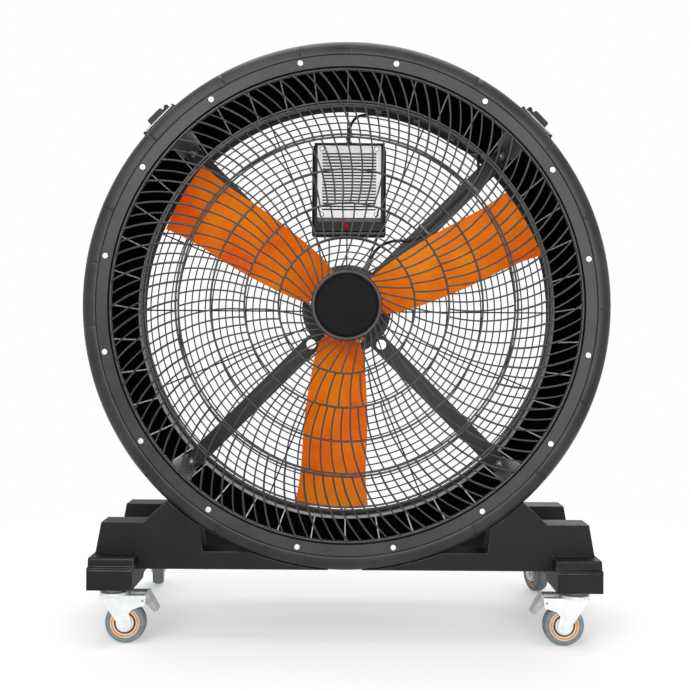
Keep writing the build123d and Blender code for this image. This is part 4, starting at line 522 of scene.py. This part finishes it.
# ---------------------------------------------------------------- light and floor
SKY = 0.32            # strength of the white world as a light
FLOOR_HALF = 9.0
FLOOR_GREY, FLOOR_ROUGH, FLOOR_GLOSS = 0.9, 0.9, 0.1
FLOOR_LIFT = 0.33     # plain white that the camera sees on top of the lit floor
SHADOW_NEAR, SHADOW_FAR = 1.1, 1.9    # distances over which the floor turns plain white
LAMPS = (             # name, place, target, size, power
    ("key", (-1.8, -3.2, 3.2), (0, 0, 0.9), 2.2, 36),
    ("front", (0.9, -4.4, 1.3), (0, 0, 0.8), 2.6, 80),
    ("streak", (-1.08, -3.4, 1.86), (-0.4, -0.27, 1.1), 0.6, 16),
    ("top", (0.0, 0.2, 3.6), (0, 0, 0.8), 2.6, 52),
    ("back", (0.6, 3.2, 2.4), (0, 0, 0.8), 2.5, 46),
)


def lamp(name, where, target, size, power):
    """A soft square light that faces a target."""
    data = bpy.data.lights.new(name, "AREA")
    data.size = size
    data.energy = power
    light = bpy.data.objects.new(name, data)
    light.location = where
    light.rotation_euler = (Vector(target) - Vector(where)).to_track_quat("-Z", "Y").to_euler()
    scene.collection.objects.link(light)


for lamp_row in LAMPS:
    lamp(*lamp_row)


def seen_directly(tree):
    """1 where the camera, a mirror or glass looks, 0 for the light that falls on things."""
    make, link = tree.nodes.new, tree.links.new
    path = make("ShaderNodeLightPath")
    seen = path.outputs["Is Camera Ray"]
    for ray in ("Is Glossy Ray", "Is Transmission Ray"):
        both = make("ShaderNodeMath")
        both.operation = "MAXIMUM"
        link(seen, both.inputs[0])
        link(path.outputs[ray], both.inputs[1])
        seen = both.outputs["Value"]
    return seen


world = bpy.data.worlds.new("world")
scene.world = world
world.use_nodes = True
tree = world.node_tree
make, link = tree.nodes.new, tree.links.new
sky = tree.nodes["Background"]
sky.inputs["Color"].default_value = (1, 1, 1, 1)
sky.inputs["Strength"].default_value = SKY
white = make("ShaderNodeBackground")
white.inputs["Color"].default_value = (1, 1, 1, 1)
choice = make("ShaderNodeMixShader")
link(seen_directly(tree), choice.inputs["Fac"])
link(sky.outputs["Background"], choice.inputs[1])
link(white.outputs["Background"], choice.inputs[2])
link(choice.outputs["Shader"], tree.nodes["World Output"].inputs["Surface"])

floor_mesh = bpy.data.meshes.new("floor")
floor_mesh.from_pydata(
    [(-FLOOR_HALF, -FLOOR_HALF, 0), (FLOOR_HALF, -FLOOR_HALF, 0),
     (FLOOR_HALF, FLOOR_HALF, 0), (-FLOOR_HALF, FLOOR_HALF, 0)], [], [(0, 1, 2, 3)]
)
floor = bpy.data.objects.new("floor", floor_mesh)
scene.collection.objects.link(floor)
floor_finish = bpy.data.materials.new("floor")
floor_finish.use_nodes = True
floor_mesh.materials.append(floor_finish)
tree = floor_finish.node_tree
make, link = tree.nodes.new, tree.links.new
matt = tree.nodes["Principled BSDF"]
matt.inputs["Base Color"].default_value = (FLOOR_GREY, FLOOR_GREY, FLOOR_GREY, 1)
matt.inputs["Roughness"].default_value = FLOOR_ROUGH
matt.inputs["Specular IOR Level"].default_value = FLOOR_GLOSS
seen = seen_directly(tree)
lift = make("ShaderNodeMath")
lift.operation = "MULTIPLY"
lift.inputs[1].default_value = FLOOR_LIFT
link(seen, lift.inputs[0])
glow = make("ShaderNodeEmission")
link(lift.outputs["Value"], glow.inputs["Strength"])
lit = make("ShaderNodeAddShader")
link(matt.outputs["BSDF"], lit.inputs[0])
link(glow.outputs["Emission"], lit.inputs[1])
white = make("ShaderNodeEmission")
where = make("ShaderNodeTexCoord")
away = make("ShaderNodeVectorMath")
away.operation = "LENGTH"
link(where.outputs["Object"], away.inputs[0])
far = make("ShaderNodeMapRange")
far.interpolation_type = "SMOOTHSTEP"
far.inputs["From Min"].default_value = SHADOW_NEAR
far.inputs["From Max"].default_value = SHADOW_FAR
link(away.outputs["Value"], far.inputs["Value"])
shown = make("ShaderNodeMath")
shown.operation = "MULTIPLY"
link(far.outputs["Result"], shown.inputs[0])
link(seen, shown.inputs[1])
choice = make("ShaderNodeMixShader")
link(shown.outputs["Value"], choice.inputs["Fac"])
link(lit.outputs["Shader"], choice.inputs[1])
link(white.outputs["Emission"], choice.inputs[2])
link(choice.outputs["Shader"], tree.nodes["Material Output"].inputs["Surface"])
